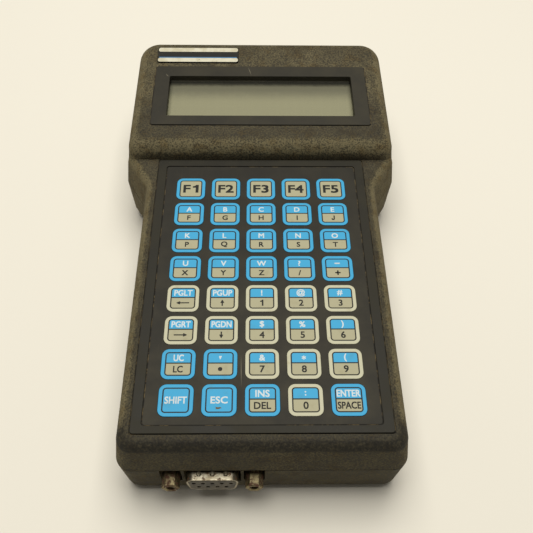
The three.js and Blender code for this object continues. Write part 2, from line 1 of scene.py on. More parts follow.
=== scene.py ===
"""The looks of the handheld data collector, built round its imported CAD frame.

Everything is in metres in the frame's own axes: +X to the user's right, +Y from the connector end to
the display end, +Z up out of the keys. Overall places come from the CAD nodes' boxes. The sizes below
repeat the design's own radii, drafts and clearances, which the boxes alone can't give.
"""
import math

import bmesh
import bpy
from mathutils import Matrix, Vector


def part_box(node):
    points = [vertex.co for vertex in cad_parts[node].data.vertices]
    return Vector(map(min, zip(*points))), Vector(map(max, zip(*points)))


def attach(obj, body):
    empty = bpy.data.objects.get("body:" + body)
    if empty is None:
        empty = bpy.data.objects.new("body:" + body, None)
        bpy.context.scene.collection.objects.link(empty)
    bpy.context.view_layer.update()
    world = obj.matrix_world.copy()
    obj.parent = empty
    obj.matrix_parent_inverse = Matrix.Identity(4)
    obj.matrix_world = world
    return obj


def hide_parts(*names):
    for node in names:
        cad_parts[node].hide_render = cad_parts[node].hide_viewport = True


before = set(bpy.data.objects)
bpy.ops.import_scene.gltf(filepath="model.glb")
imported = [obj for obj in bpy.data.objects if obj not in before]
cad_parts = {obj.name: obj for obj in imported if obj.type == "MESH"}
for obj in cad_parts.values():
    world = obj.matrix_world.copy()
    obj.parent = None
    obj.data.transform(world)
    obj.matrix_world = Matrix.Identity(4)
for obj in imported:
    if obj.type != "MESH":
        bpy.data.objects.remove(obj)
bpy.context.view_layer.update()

MM = 0.001

# ---- Design sizes that the CAD boxes don't give ----
GAP = 0.3 * MM
LAYER_GAP = 0.1 * MM
DRAFT = math.tan(math.radians(8))
LOWER_DRAFT = math.tan(math.radians(3.5))
HEAD_TILT = math.radians(2)
GRIP_RAIL = 5.6 * MM
SHOULDER_LEAD = 12.8 * MM
SHOULDER_TRAIL = 1.2 * MM
WALL = 2.5 * MM
BROW_HEIGHT = 7.4 * MM
GRIP_CORNER_RADIUS = 5 * MM
SHOULDER_RADIUS = 3 * MM
BACK_CORNER_RADIUS = 10.5 * MM
BROW_CORNER_RADIUS = 4.6 * MM
DECK_EDGE_RADIUS = 4.2 * MM
HEAD_EDGE_RADIUS = 6.5 * MM
LEAST_CASE_RADIUS = 5 * MM
BOTTOM_EDGE_RADIUS = 5 * MM
LIP_HEIGHT = 1.8 * MM
FRAME_PROUD = 0.2 * MM
FRAME_SIDE_BAND = 3.1 * MM
FRAME_FRONT_BAND = 2.4 * MM
FRAME_REAR_BAND = 3.2 * MM
OVERLAY_CORNER_RADIUS = 0.8 * MM
KEY_SIZE = 10.29 * MM
KEY_CORNER_RADIUS = 2.2 * MM
KEY_SEAM = 0.07 * MM
BEZEL_RECESS = 1.3 * MM
BEZEL_PROUD = 0.4 * MM
BEZEL_SIDE_BAND = 5.75 * MM
BEZEL_FRONT_BAND = 4.8 * MM
BEZEL_SETBACK = 10.4 * MM
BEZEL_LEDGE = 3.0 * MM
RECESS_CORNER_RADIUS = 1.3 * MM
WINDOW_LENGTH = 22.2 * MM
WINDOW_CORNER_RADIUS = 0.6 * MM
WINDOW_THICKNESS = 0.8 * MM
NAMEPLATE_SETBACK = 2.5 * MM
NAMEPLATE_RECESS = 0.4 * MM
NAMEPLATE_THICKNESS = 0.5 * MM
NAMEPLATE_CORNER_RADIUS = 1.2 * MM
SHELL_WIDTH = 16.3 * MM
SHELL_HEIGHT = 7.9 * MM
SHELL_SLANT = math.radians(10)
SHELL_RADIUS = 2.2 * MM
SHELL_SHEET = 0.5 * MM
SCREW_HEAD_RADIUS = 2.8 * MM
SCREW_SEAT = 6.0 * MM
SCREW_SHANK_RADIUS = 1.3 * MM
SCREW_LENGTH = 16 * MM
BOSS_RADIUS = 4.7 * MM
BOSS_SPLIT = 2 * MM
HEAD_CUT_DEPTH = 8 * MM
HEAD_CUT_RISE = 2 * MM
ARC_STEPS = 10
SCREW_NODES = [f"case_screw_{end}_{side}" for end in ("front", "rear") for side in ("left", "right")]
JACKSCREW_NODES = ["jackscrew_left", "jackscrew_right"]

# ---- Places, from the frame ----
upper_low, upper_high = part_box("upper_case")
rim_low, rim_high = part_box("keypad_frame")
sheet_low, sheet_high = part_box("keypad_overlay")

PARTING = upper_low.z - GAP / 2
DECK = rim_high.z - FRAME_PROUD
POCKET_FLOOR = rim_low.z - LAYER_GAP
FRONT = upper_low.y
BACK = upper_high.y
HEAD_HALF = upper_high.x
GRIP_HALF = rim_high.x + GRIP_RAIL
BROW = rim_high.y + GAP
HEAD_TOP = DECK + BROW_HEIGHT
TILT = math.tan(HEAD_TILT)
ON_HEAD = Matrix.Translation((0, BROW, HEAD_TOP)) @ Matrix.Rotation(HEAD_TILT, 4, "X")


def middle(node):
    """The middle of a node's box seen from above, as (x, y)."""
    low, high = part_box(node)
    return (low.x + high.x) / 2, (low.y + high.y) / 2


def spread(count, pitch):
    """Offsets of so many things in a row, centred on 0."""
    return [(i - (count - 1) / 2) * pitch for i in range(count)]


# ---- Mesh building ----
def outline(corners, inset=0.0, steps=ARC_STEPS):
    """Points of an anticlockwise outline with corners (x, y, radius, least radius), moved in by inset."""
    points = []
    for i, (x, y, radius, *least) in enumerate(corners):
        here = Vector((x, y))
        incoming = (here - Vector(corners[i - 1][:2])).normalized()
        outgoing = (Vector(corners[(i + 1) % len(corners)][:2]) - here).normalized()
        before = Vector((-incoming.y, incoming.x))
        after = Vector((-outgoing.y, outgoing.x))
        mitre = (before + after) / (1 + before.dot(after))
        turn = math.atan2(incoming.cross(outgoing), incoming.dot(outgoing))
        side = math.copysign(1, turn)
        arc = max(radius - side * inset, least[0] if least else 0.2 * MM)
        centre = here + mitre * (inset + side * arc)
        start = math.atan2(-side * before.y, -side * before.x)
        for step in range(steps + 1):
            angle = start + turn * step / steps
            points.append((centre.x + arc * math.cos(angle), centre.y + arc * math.sin(angle)))
    return points


def rectangle(low, high, radius, inset=0.0):
    """Corners of a rectangle between two (x, y) corners."""
    return [
        (low[0] + inset, low[1] + inset, radius),
        (high[0] - inset, low[1] + inset, radius),
        (high[0] - inset, high[1] - inset, radius),
        (low[0] + inset, high[1] - inset, radius),
    ]


def block(x, y, width, length, radius):
    """Corners of a rectangle round its middle."""
    return rectangle((x - width / 2, y - length / 2), (x + width / 2, y + length / 2), radius)


def add_object(name, data):
    obj = bpy.data.objects.new(name, data)
    bpy.context.scene.collection.objects.link(obj)
    return obj


def object_from(bm, name, materials=()):
    """Makes an object of a finished bmesh."""
    mesh = bpy.data.meshes.new(name)
    bm.to_mesh(mesh)
    bm.free()
    for material in materials:
        mesh.materials.append(material)
    return add_object(name, mesh)


def add_skin(bm, rings, transform=None, band_materials=None, top=True):
    """Adds a skin through rings of equal length, lowest first, closed over its first and last ring."""
    rows = []
    for ring in rings:
        rows.append([bm.verts.new(transform @ Vector(p) if transform else Vector(p)) for p in ring])
    count = len(rows[0])
    for band, (low, high) in enumerate(zip(rows, rows[1:])):
        for i in range(count):
            j = (i + 1) % count
            face = bm.faces.new((low[i], low[j], high[j], high[i]))
            face.material_index = band_materials[band] if band_materials else 0
    bm.faces.new(list(reversed(rows[0])))
    if top:
        bm.faces.new(rows[-1])


def clip(points, level, above):
    """The part of a convex outline above or below a level in y."""
    side = 1 if above else -1
    kept = []
    for (x0, y0), (x1, y1) in zip(points, points[1:] + points[:1]):
        from_start = side * (y0 - level)
        from_end = side * (y1 - level)
        if from_start >= 0:
            kept.append((x0, y0))
        if from_start * from_end < 0:
            share = from_start / (from_start - from_end)
            kept.append((x0 + share * (x1 - x0), level))
    return kept


def add_stripes(bm, points, cuts, materials, height):
    """Fills a convex outline with stripes of different materials, divided at the levels in cuts."""
    rest = points
    for level, material in zip([*cuts, None], materials):
        stripe = rest
        if level is not None:
            stripe = clip(rest, level, above=False)
            rest = clip(rest, level, above=True)
        add_flat(bm, stripe, material, height)


def add_flat(bm, points, material, height, transform=None):
    """Adds one flat face at a height."""
    places = [Vector((x, y, height)) for x, y in points]
    face = bm.faces.new([bm.verts.new(transform @ p if transform else p) for p in places])
    face.material_index = material


def levels(corners, stations, steps=ARC_STEPS, lift=None):
    """Rings of an outline at (height, inset) stations. lift adds a height that depends on y."""
    rings = []
    for height, inset in stations:
        ring = outline(corners, inset, steps)
        rings.append([(x, y, height + (lift(y) if lift else 0)) for x, y in ring])
    return rings


def rounded_top(height, inset, radius, steps=8):
    """Stations of a rounded upper edge above (height, inset)."""
    angles = [math.pi / 2 * (i + 1) / steps for i in range(steps)]
    return [(height + radius * math.sin(a), inset + radius * (1 - math.cos(a))) for a in angles]


def skin_object(name, rings, transform=None):
    bm = bmesh.new()
    add_skin(bm, rings, transform)
    return object_from(bm, name)


def slab(name, corners, bottom, top, steps=ARC_STEPS, transform=None):
    """A straight-sided piece with one outline from bottom to top."""
    return skin_object(name, levels(corners, [(bottom, 0), (top, 0)], steps), transform)


def prism(name, points, start, end):
    """A prism along Y, from an anticlockwise outline of (x, height) seen from the front."""
    return skin_object(name, [[(x, y, z) for x, z in points] for y in (end, start)])


def circle(radius, sides):
    angles = [2 * math.pi * i / sides for i in range(sides)]
    return [(radius * math.cos(a), radius * math.sin(a)) for a in angles]


def rod(name, stations, x, z, sides=24):
    """A round rod along Y through (y, radius) stations."""
    rings = []
    for y, radius in reversed(stations):
        rings.append([(x + dx, y, z + dz) for dx, dz in circle(radius, sides)])
    return skin_object(name, rings)


def post(name, stations, x, y, sides=32):
    """A round post along Z through (z, radius) stations."""
    rings = []
    for z, radius in stations:
        rings.append([(x + dx, y + dy, z) for dx, dy in circle(radius, sides)])
    return skin_object(name, rings)


def boolean(obj, tools, operation="DIFFERENCE"):
    """Cuts the tools from obj, or joins them to it, and removes them."""
    for tool in tools:
        modifier = obj.modifiers.new("bool", "BOOLEAN")
        modifier.object = tool
        modifier.operation = operation
        modifier.solver = "EXACT"
    settle(obj)
    for tool in tools:
        bpy.data.objects.remove(tool)
    return obj


def settle(obj):
    """Applies every modifier of obj to its mesh."""
    bpy.context.view_layer.update()
    graph = bpy.context.evaluated_depsgraph_get()
    mesh = bpy.data.meshes.new_from_object(obj.evaluated_get(graph))
    obj.modifiers.clear()
    obj.data = mesh


def soften(obj, width, segments):
    """Rounds the sharp edges a little and shades the rest smooth."""
    obj.data.shade_smooth()
    bevel = obj.modifiers.new("edges", "BEVEL")
    bevel.width = width
    bevel.segments = segments
    bevel.limit_method = "ANGLE"
    bevel.angle_limit = math.radians(35)
    bevel.harden_normals = True
    settle(obj)


def finish_piece(obj, body, slot, *nodes):
    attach(obj, body)
    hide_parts(*nodes)


def finish_fixed(obj, material, slot, node, edge, segments=2):
    """Gives a piece that rides the case its material and softened edges, attaches it to the case and hides
    the CAD node it replaces.
    """
    obj.data.materials.append(material)
    soften(obj, edge, segments)
    finish_piece(obj, "case", slot, node)


# ---- Materials ----
class Graph:
    """A short way to write a node material: every method adds one node and returns its output."""

    def __init__(self, name):
        self.material = bpy.data.materials.new(name)
        self.material.use_nodes = True
        self.tree = self.material.node_tree
        self.tree.nodes.clear()
        self.place = self.node("ShaderNodeTexCoord").outputs["Object"]

    def node(self, kind, inputs=None, **settings):
        made = self.tree.nodes.new(kind)
        for key, value in settings.items():
            setattr(made, key, value)
        for key, value in (inputs or {}).items():
            self.feed(made.inputs[key], value)
        return made

    def feed(self, socket, value):
        if isinstance(value, bpy.types.NodeSocket):
            self.tree.links.new(value, socket)
        else:
            socket.default_value = value

    def scaled(self, x, y, z):
        """The place, stretched: larger numbers make finer detail along that axis."""
        return self.node("ShaderNodeMapping", {"Vector": self.place, "Scale": (x, y, z)}).outputs["Vector"]

    def noise(self, size, detail=3.0, roughness=0.55, vector=None):
        """Noise whose features are about size across, from 0 to 1."""
        inputs = {"Vector": vector or self.place, "Scale": 1 / size}
        inputs.update({"Detail": detail, "Roughness": roughness})
        return self.node("ShaderNodeTexNoise", inputs).outputs["Fac"]

    def cells(self, size):
        """Distance to the nearest of points scattered about size apart."""
        inputs = {"Vector": self.place, "Scale": 1 / size}
        return self.node("ShaderNodeTexVoronoi", inputs).outputs["Distance"]

    def range(self, value, low, high, to_low=0.0, to_high=1.0):
        """Eases from to_low to to_high as value goes from low to high."""
        inputs = {"Value": value, "From Min": low, "From Max": high, "To Min": to_low, "To Max": to_high}
        return self.node("ShaderNodeMapRange", inputs, interpolation_type="SMOOTHSTEP").outputs["Result"]

    def math(self, operation, a, b=0.0):
        made = self.node("ShaderNodeMath", operation=operation)
        self.feed(made.inputs[0], a)
        self.feed(made.inputs[1], b)
        return made.outputs["Value"]

    def times(self, a, b):
        return self.math("MULTIPLY", a, b)

    def mix(self, share, a, b):
        made = self.node("ShaderNodeMix", data_type="RGBA")
        self.feed(made.inputs["Factor"], share)
        self.feed(made.inputs["A"], a if isinstance(a, bpy.types.NodeSocket) else (*a, 1))
        self.feed(made.inputs["B"], b if isinstance(b, bpy.types.NodeSocket) else (*b, 1))
        return made.outputs["Result"]

    def separate(self, axis):
        """The place along one axis."""
        return self.node("ShaderNodeSeparateXYZ", {"Vector": self.place}).outputs[axis]

    def facing(self, axis):
        """How far the surface faces along one axis."""
        normal = self.node("ShaderNodeNewGeometry").outputs["Normal"]
        return self.node("ShaderNodeSeparateXYZ", {"Vector": normal}).outputs[axis]

    def bump(self, height, distance, strength=1.0):
        inputs = {"Height": height, "Distance": distance, "Strength": strength}
        return self.node("ShaderNodeBump", inputs).outputs["Normal"]

    def surface(self, colour, roughness, normal=None, **sockets):
        shader = self.node("ShaderNodeBsdfPrincipled")
        if not isinstance(colour, bpy.types.NodeSocket):
            colour = (*colour, 1)
        self.feed(shader.inputs["Base Color"], colour)
        self.feed(shader.inputs["Roughness"], roughness)
        if normal is not None:
            self.feed(shader.inputs["Normal"], normal)
        for key, value in sockets.items():
            self.feed(shader.inputs[key.replace("_", " ").title().replace("Ior", "IOR")], value)
        self.node("ShaderNodeOutputMaterial", {"Surface": shader.outputs["BSDF"]})
        return self.material


GLASS_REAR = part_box("display_window")[1].y
BLACK_PLASTIC = (0.016, 0.015, 0.0125)
KHAKI_DUST = (0.165, 0.140, 0.078)
BROWN_DUST = (0.130, 0.100, 0.048)


def case_plastic():
    """Spark-textured black plastic with khaki dust in its grain and painted light on the walls facing the
    sides, rubbed clean along the front edge with painted shade there.
    """
    g = Graph("case_plastic")
    grain = g.noise(0.55 * MM, 3.0, 0.65)
    pits = g.cells(0.7 * MM)
    patches = g.noise(9 * MM, 4.0, 0.6)
    up = g.facing("Z")
    sideways = g.math("ABSOLUTE", g.facing("X"))
    # The front's rounded edge is cleared of dust where it tilts: rubbed clean, and also painted shade on
    # that edge.
    rubbed_and_shaded_tilt = g.times(g.range(up, 0.08, 0.4), g.range(up, 1.0, 0.88, 0.35, 1.0))
    near_front = g.range(g.separate("Y"), FRONT + 14 * MM, FRONT + 7 * MM)
    rubbed = g.times(rubbed_and_shaded_tilt, near_front)
    rubbed = g.times(rubbed, g.range(g.noise(1.2 * MM, 4.0, 0.7), 0.35, 0.6, 0.84, 1.0))
    on_flat = g.range(g.separate("Y"), BROW + 12 * MM, BROW + 28 * MM, 0.34, 0.55)
    settled_dust_and_side_light = g.times(g.range(up, 0.05, 0.5, 0.33, 0.88), g.range(up, 0.80, 0.99, 1.0, on_flat))
    # More dust colour on walls facing left and right: painted light on those sides.
    settled_dust_and_side_light = g.math("ADD", settled_dust_and_side_light, g.range(sideways, 0.3, 0.95, 0.0, 0.56))
    # From here the mask carries the dust together with the painted side light and the painted shade at the
    # front edge.
    dust_and_painted_light = g.times(settled_dust_and_side_light, g.range(patches, 0.3, 0.7, 0.75, 1.2))
    dust_and_painted_light = g.times(dust_and_painted_light, g.math("SUBTRACT", 1.0, g.times(rubbed, 0.95)))
    caught_dust_and_painted_light = g.times(dust_and_painted_light, g.range(grain, 0.36, 0.64, 0.3, 1.65))
    dust = g.mix(g.range(g.noise(4 * MM), 0.45, 0.7), KHAKI_DUST, BROWN_DUST)
    colour = g.mix(caught_dust_and_painted_light, BLACK_PLASTIC, dust)
    texture = g.math("ADD", grain, g.times(pits, 0.6))
    normal = g.bump(texture, 0.14 * MM, 0.9)
    return g.surface(colour, g.range(caught_dust_and_painted_light, 0.0, 0.6, 0.6, 0.9), normal, specular_ior_level=0.18)


def trim_plastic(name, clean, dusty):
    """Smooth satin black plastic with fine dust specks and hairline scratches."""
    g = Graph(name)
    specks = g.range(g.noise(0.5 * MM, 2.0), 0.62, 0.74, 0.0, 0.4)
    film = g.range(g.noise(11 * MM, 4.0), 0.3, 0.75, 0.10, 0.30)
    scratches = g.range(g.noise(0.25 * MM, 1.0, vector=g.scaled(1, 0.03, 1)), 0.66, 0.72, 0.0, 0.2)
    colour = g.mix(g.math("MAXIMUM", film, g.math("MAXIMUM", specks, scratches)), clean, dusty)
    normal = g.bump(g.noise(0.4 * MM), 0.01 * MM, 0.5)
    return g.surface(colour, g.range(film, 0.1, 0.3, 0.5, 0.62), normal, specular_ior_level=0.14)


def overlay_film():
    """Matt printed film, rubbed and lightly scratched along the keypad."""
    g = Graph("overlay_film")
    handled = g.range(g.separate("Y"), BROW, FRONT, 0.55, 1.25)
    film = g.times(g.range(g.noise(9 * MM, 4.0), 0.3, 0.75, 0.08, 0.35), handled)
    scratches = g.range(g.noise(0.3 * MM, 1.5, vector=g.scaled(1, 0.02, 1)), 0.64, 0.72, 0.0, 0.3)
    specks = g.range(g.noise(0.6 * MM, 2.0), 0.66, 0.76, 0.0, 0.4)
    marks = g.math("MAXIMUM", film, g.math("MAXIMUM", specks, scratches))
    colour = g.mix(marks, (0.024, 0.023, 0.0195), (0.080, 0.070, 0.044))
    normal = g.bump(g.noise(0.35 * MM), 0.012 * MM, 0.6)
    return g.surface(colour, 0.6, normal, specular_ior_level=0.14)


def ink(name, clean, worn):
    """Printed ink under matt film, with faint grime and a fine film grain."""
    g = Graph(name)
    grime = g.range(g.noise(3.2 * MM, 4.0), 0.5, 0.8, 0.0, 0.45)
    grain = g.range(g.noise(0.25 * MM, 2.0), 0.3, 0.7, 0.0, 0.12)
    colour = g.mix(g.math("MAXIMUM", grime, grain), clean, worn)
    normal = g.bump(g.noise(0.35 * MM), 0.008 * MM, 0.5)
    return g.surface(colour, 0.55, normal, specular_ior_level=0.14)


def groove_grime():
    """Dirt packed in the joint lines, dark with dry khaki patches."""
    g = Graph("groove_grime")
    dry = g.range(g.noise(3.5 * MM, 5.0, 0.7), 0.46, 0.62)
    colour = g.mix(dry, (0.012, 0.010, 0.008), (0.115, 0.085, 0.040))
    normal = g.bump(g.noise(0.3 * MM), 0.05 * MM, 1.0)
    return g.surface(colour, 0.9, normal)


def display_glass():
    """Olive-grey reflective display with faint character cells, with the bezel's shadow painted along its
    rear edge and dirt right at that edge.
    """
    g = Graph("display_glass")
    across = g.math("PINGPONG", g.separate("X"), 1.7 * MM)
    along = g.math("PINGPONG", g.separate("Y"), 2.6 * MM)
    cell = g.times(g.range(across, 0.15 * MM, 0.3 * MM), g.range(along, 0.25 * MM, 0.4 * MM))
    clear = g.mix(g.times(cell, 0.2), (0.300, 0.291, 0.182), (0.270, 0.262, 0.163))
    ragged = g.times(g.noise(3 * MM, 4.0, 0.7), 2.0 * MM)
    from_rear = g.math("ADD", g.math("SUBTRACT", GLASS_REAR, g.separate("Y")), ragged)
    # shade paints the bezel's shadow on the glass, darkest at the rear edge and fading forward.
    shade = g.range(from_rear, 12 * MM, 3.5 * MM)
    dirt = g.range(from_rear, 2.8 * MM, 0.4 * MM)
    colour = g.mix(g.times(shade, 0.65), clear, (0.060, 0.058, 0.042))
    colour = g.mix(dirt, colour, (0.020, 0.018, 0.013))
    return g.surface(colour, 0.35, specular_ior_level=0.3)


def clear_pane():
    """A clear pane with a little haze."""
    g = Graph("clear_pane")
    haze = g.range(g.noise(8 * MM, 3.0), 0.3, 0.8, 0.12, 0.22)
    return g.surface((0.30, 0.30, 0.24), haze, alpha=0.04, specular_ior_level=0.3)


def metal(name, clean, tarnish, rust, rusty, roughness):
    """Worn plated metal: tarnish in patches, and rust where rusty is high."""
    g = Graph(name)
    patches = g.range(g.noise(2.2 * MM, 4.0, 0.65), 0.4, 0.65)
    spots = g.range(g.noise(1.3 * MM, 4.0, 0.7), 0.62 - rusty, 0.70 - rusty)
    colour = g.mix(spots, g.mix(patches, clean, tarnish), rust)
    shine = g.math("SUBTRACT", 1.0, g.times(spots, 0.9))
    normal = g.bump(g.noise(0.3 * MM, 3.0), 0.03 * MM, 0.7)
    return g.surface(colour, g.range(spots, 0, 1, roughness, 0.85), normal, metallic=shine)


def moulded(name, colour, dusty, roughness=0.6):
    g = Graph(name)
    film = g.range(g.noise(2.5 * MM, 3.0), 0.3, 0.7)
    normal = g.bump(g.noise(0.3 * MM), 0.02 * MM, 0.6)
    return g.surface(g.mix(film, colour, dusty), roughness, normal)


def plate_foil():
    """The nameplate's cream print, chipped and yellowed."""
    g = Graph("plate_foil")
    yellow = g.range(g.noise(4 * MM, 4.0), 0.4, 0.7)
    chips = g.range(g.noise(0.9 * MM, 3.0), 0.70, 0.74)
    colour = g.mix(chips, g.mix(yellow, (0.70, 0.67, 0.53), (0.55, 0.51, 0.36)), (0.16, 0.14, 0.09))
    return g.surface(colour, 0.4, g.bump(g.noise(0.5 * MM), 0.01 * MM, 0.6))


CASE = case_plastic()
TRIM = trim_plastic("bezel_plastic", (0.026, 0.025, 0.021), (0.095, 0.082, 0.050))
RIM = trim_plastic("rim_plastic", (0.017, 0.0165, 0.0135), (0.068, 0.060, 0.036))
FILM = overlay_film()
GRIME = groove_grime()
BLUE = ink("key_ink_blue", (0.060, 0.390, 0.680), (0.080, 0.280, 0.400))
PALE = ink("key_ink_cream", (0.560, 0.550, 0.405), (0.390, 0.350, 0.200))
BEIGE = ink("key_ink_beige", (0.425, 0.405, 0.270), (0.320, 0.290, 0.175))
DARK = ink("key_ink_dark", (0.022, 0.022, 0.020), (0.060, 0.055, 0.040))
WHITE = ink("key_ink_white", (0.620, 0.700, 0.740), (0.420, 0.470, 0.460))
FOIL = plate_foil()
STRIPE = ink("nameplate_blue", (0.055, 0.170, 0.330), (0.060, 0.120, 0.190))
SCRATCH = ink("scratch", (0.165, 0.150, 0.105), (0.110, 0.095, 0.060))
RUST = ink("rust_stain", (0.130, 0.100, 0.045), (0.070, 0.110, 0.110))
GLASS = display_glass()
PANE = clear_pane()
TIN = metal("connector_plate", (0.46, 0.42, 0.32), (0.26, 0.22, 0.15), (0.13, 0.055, 0.022), 0.06, 0.35)
BRASS = metal("aged_brass", (0.27, 0.23, 0.13), (0.14, 0.105, 0.060), (0.095, 0.045, 0.024), 0.13, 0.5)
STEEL = metal("black_steel", (0.07, 0.068, 0.062), (0.040, 0.038, 0.034), (0.09, 0.045, 0.022), 0.0, 0.45)
FRAME_TIN = metal("tinplate", (0.50, 0.49, 0.45), (0.38, 0.37, 0.33), (0.14, 0.07, 0.03), -0.05, 0.35)
INSULATOR = moulded("connector_plastic", (0.050, 0.044, 0.034), (0.105, 0.088, 0.060))
LAMINATE = moulded("board_laminate", (0.020, 0.085, 0.035), (0.030, 0.105, 0.050), 0.4)
SWITCH_FILM = moulded("circuit_film", (0.42, 0.40, 0.32), (0.34, 0.31, 0.23), 0.5)


# ---- Case ----
CASE_CORNERS = [
    (-GRIP_HALF, FRONT, GRIP_CORNER_RADIUS, LEAST_CASE_RADIUS),
    (GRIP_HALF, FRONT, GRIP_CORNER_RADIUS, LEAST_CASE_RADIUS),
    (GRIP_HALF, BROW - SHOULDER_LEAD, SHOULDER_RADIUS),
    (HEAD_HALF, BROW + SHOULDER_TRAIL, SHOULDER_RADIUS),
    (HEAD_HALF, BACK, BACK_CORNER_RADIUS, LEAST_CASE_RADIUS),
    (-HEAD_HALF, BACK, BACK_CORNER_RADIUS, LEAST_CASE_RADIUS),
    (-HEAD_HALF, BROW + SHOULDER_TRAIL, SHOULDER_RADIUS),
    (-GRIP_HALF, BROW - SHOULDER_LEAD, SHOULDER_RADIUS),
]
HEAD_INSET = DRAFT * (DECK - PARTING)
HEAD_CORNERS = [
    (-HEAD_HALF + HEAD_INSET, BROW, BROW_CORNER_RADIUS, LEAST_CASE_RADIUS),
    (HEAD_HALF - HEAD_INSET, BROW, BROW_CORNER_RADIUS, LEAST_CASE_RADIUS),
    (HEAD_HALF - HEAD_INSET, BACK - HEAD_INSET, BACK_CORNER_RADIUS - HEAD_INSET, LEAST_CASE_RADIUS),
    (-HEAD_HALF + HEAD_INSET, BACK - HEAD_INSET, BACK_CORNER_RADIUS - HEAD_INSET, LEAST_CASE_RADIUS),
]

# The bezel and the nameplate as (x, y) corners on the tilted head, with y from the brow.
bezel_low, bezel_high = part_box("display_bezel")
BEZEL_LENGTH = (bezel_high.y - bezel_low.y) / math.cos(HEAD_TILT)
BEZEL_LOW = (bezel_low.x, BEZEL_SETBACK)
BEZEL_HIGH = (bezel_high.x, BEZEL_SETBACK + BEZEL_LENGTH)
nameplate_low, nameplate_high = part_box("nameplate")
PLATE_LENGTH = (nameplate_high.y - nameplate_low.y) / math.cos(HEAD_TILT)
PLATE_LOW = (nameplate_low.x, BEZEL_HIGH[1] + NAMEPLATE_SETBACK)
PLATE_HIGH = (nameplate_high.x, PLATE_LOW[1] + PLATE_LENGTH)

shell_low, shell_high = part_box("connector_shell")
CONNECTOR_X = (shell_low.x + shell_high.x) / 2
CONNECTOR_Z = (shell_low.z + shell_high.z) / 2


def head_lift(y):
    """How far the tilted head has risen at y."""
    return TILT * (y - BROW)


def upper_case():
    """The upper case with its raised head, hollow, with posts for the screws and its openings."""
    wall_top = DECK - DECK_EDGE_RADIUS
    wall_inset = DRAFT * (wall_top - PARTING)
    stations = [(upper_low.z, 0), (wall_top, wall_inset)]
    stations += rounded_top(wall_top, wall_inset, DECK_EDGE_RADIUS)
    body = skin_object("upper_case_shell", levels(CASE_CORNERS, stations))
    boolean(body, head_pieces((wall_top, wall_inset - HEAD_INSET)), "UNION")
    boolean(body, upper_hollows())
    boolean(body, screw_posts(PARTING - BOSS_SPLIT + GAP, upper_boss_top), "UNION")
    pilots = screw_bores(SCREW_SHANK_RADIUS + GAP, MM, SCREW_SEAT + SCREW_LENGTH + MM)
    pocket = slab("pocket", rectangle(rim_low, rim_high, MM, -GAP), POCKET_FLOOR, DECK + MM, 6)
    return boolean(body, [pocket, *pilots, *head_cutters()])


def head_pieces(start):
    """The raised head, and the foot that carries its outline down through the deck's rounded edge."""
    wall_top = HEAD_TOP - HEAD_EDGE_RADIUS
    inset = DRAFT * (wall_top - DECK)
    stations = [start, (wall_top, inset), *rounded_top(wall_top, inset, HEAD_EDGE_RADIUS)]
    head = skin_object("head", levels(HEAD_CORNERS, stations, lift=head_lift))
    foot = skin_object("head_foot", levels(HEAD_CORNERS, [start, (DECK, 0)]))
    return [foot, head]


def upper_hollows():
    """The hollow under the deck, the rebate round the parting line and the hollow in the head."""
    bottom = PARTING - WALL
    deck_stations = [(bottom, WALL), (POCKET_FLOOR - WALL, WALL + HEAD_INSET)]
    rebate_inset = (WALL - GAP) / 2
    rebate_stations = [(bottom, rebate_inset), (PARTING + LIP_HEIGHT + GAP, rebate_inset)]
    slope_inset = WALL + DRAFT * (BROW_HEIGHT - 2 * WALL)
    head_stations = [(bottom, WALL), (HEAD_TOP - 2 * WALL, slope_inset), (HEAD_TOP - WALL, 2 * WALL)]
    return [
        skin_object("hollow", levels(CASE_CORNERS, deck_stations, 4)),
        skin_object("rebate", levels(CASE_CORNERS, rebate_stations, 4)),
        skin_object("head_hollow", levels(HEAD_CORNERS, head_stations, 4, head_lift)),
    ]


def upper_boss_top(y):
    """The height of a screw post's top: inside the head's roof, or inside the deck."""
    if y > BROW:
        return HEAD_TOP + head_lift(y) - WALL / 2
    return POCKET_FLOOR - MM


def screw_posts(bottom, top_at):
    """Round bosses on the screws' axes, from one height up to another that depends on y."""
    posts = []
    for x, y in map(middle, SCREW_NODES):
        posts.append(post("post", [(bottom, BOSS_RADIUS), (top_at(y), BOSS_RADIUS)], x, y))
    return posts


def screw_bores(radius, bottom, top):
    return [post("bore", [(bottom, radius), (top, radius)], *middle(node)) for node in SCREW_NODES]


def head_cutters():
    """The bezel's recess, the opening under it and the nameplate's recess, on the tilted head."""
    recess = rectangle(BEZEL_LOW, BEZEL_HIGH, RECESS_CORNER_RADIUS, -GAP)
    opening = rectangle(BEZEL_LOW, BEZEL_HIGH, MM, BEZEL_LEDGE - GAP)
    plate = rectangle(PLATE_LOW, PLATE_HIGH, MM, -GAP)
    return [
        slab("recess", recess, -BEZEL_RECESS, HEAD_CUT_RISE, 6, ON_HEAD),
        slab("opening", opening, -HEAD_CUT_DEPTH, HEAD_CUT_RISE, 2, ON_HEAD),
        slab("plate_recess", plate, -NAMEPLATE_RECESS, HEAD_CUT_RISE, 6, ON_HEAD),
    ]


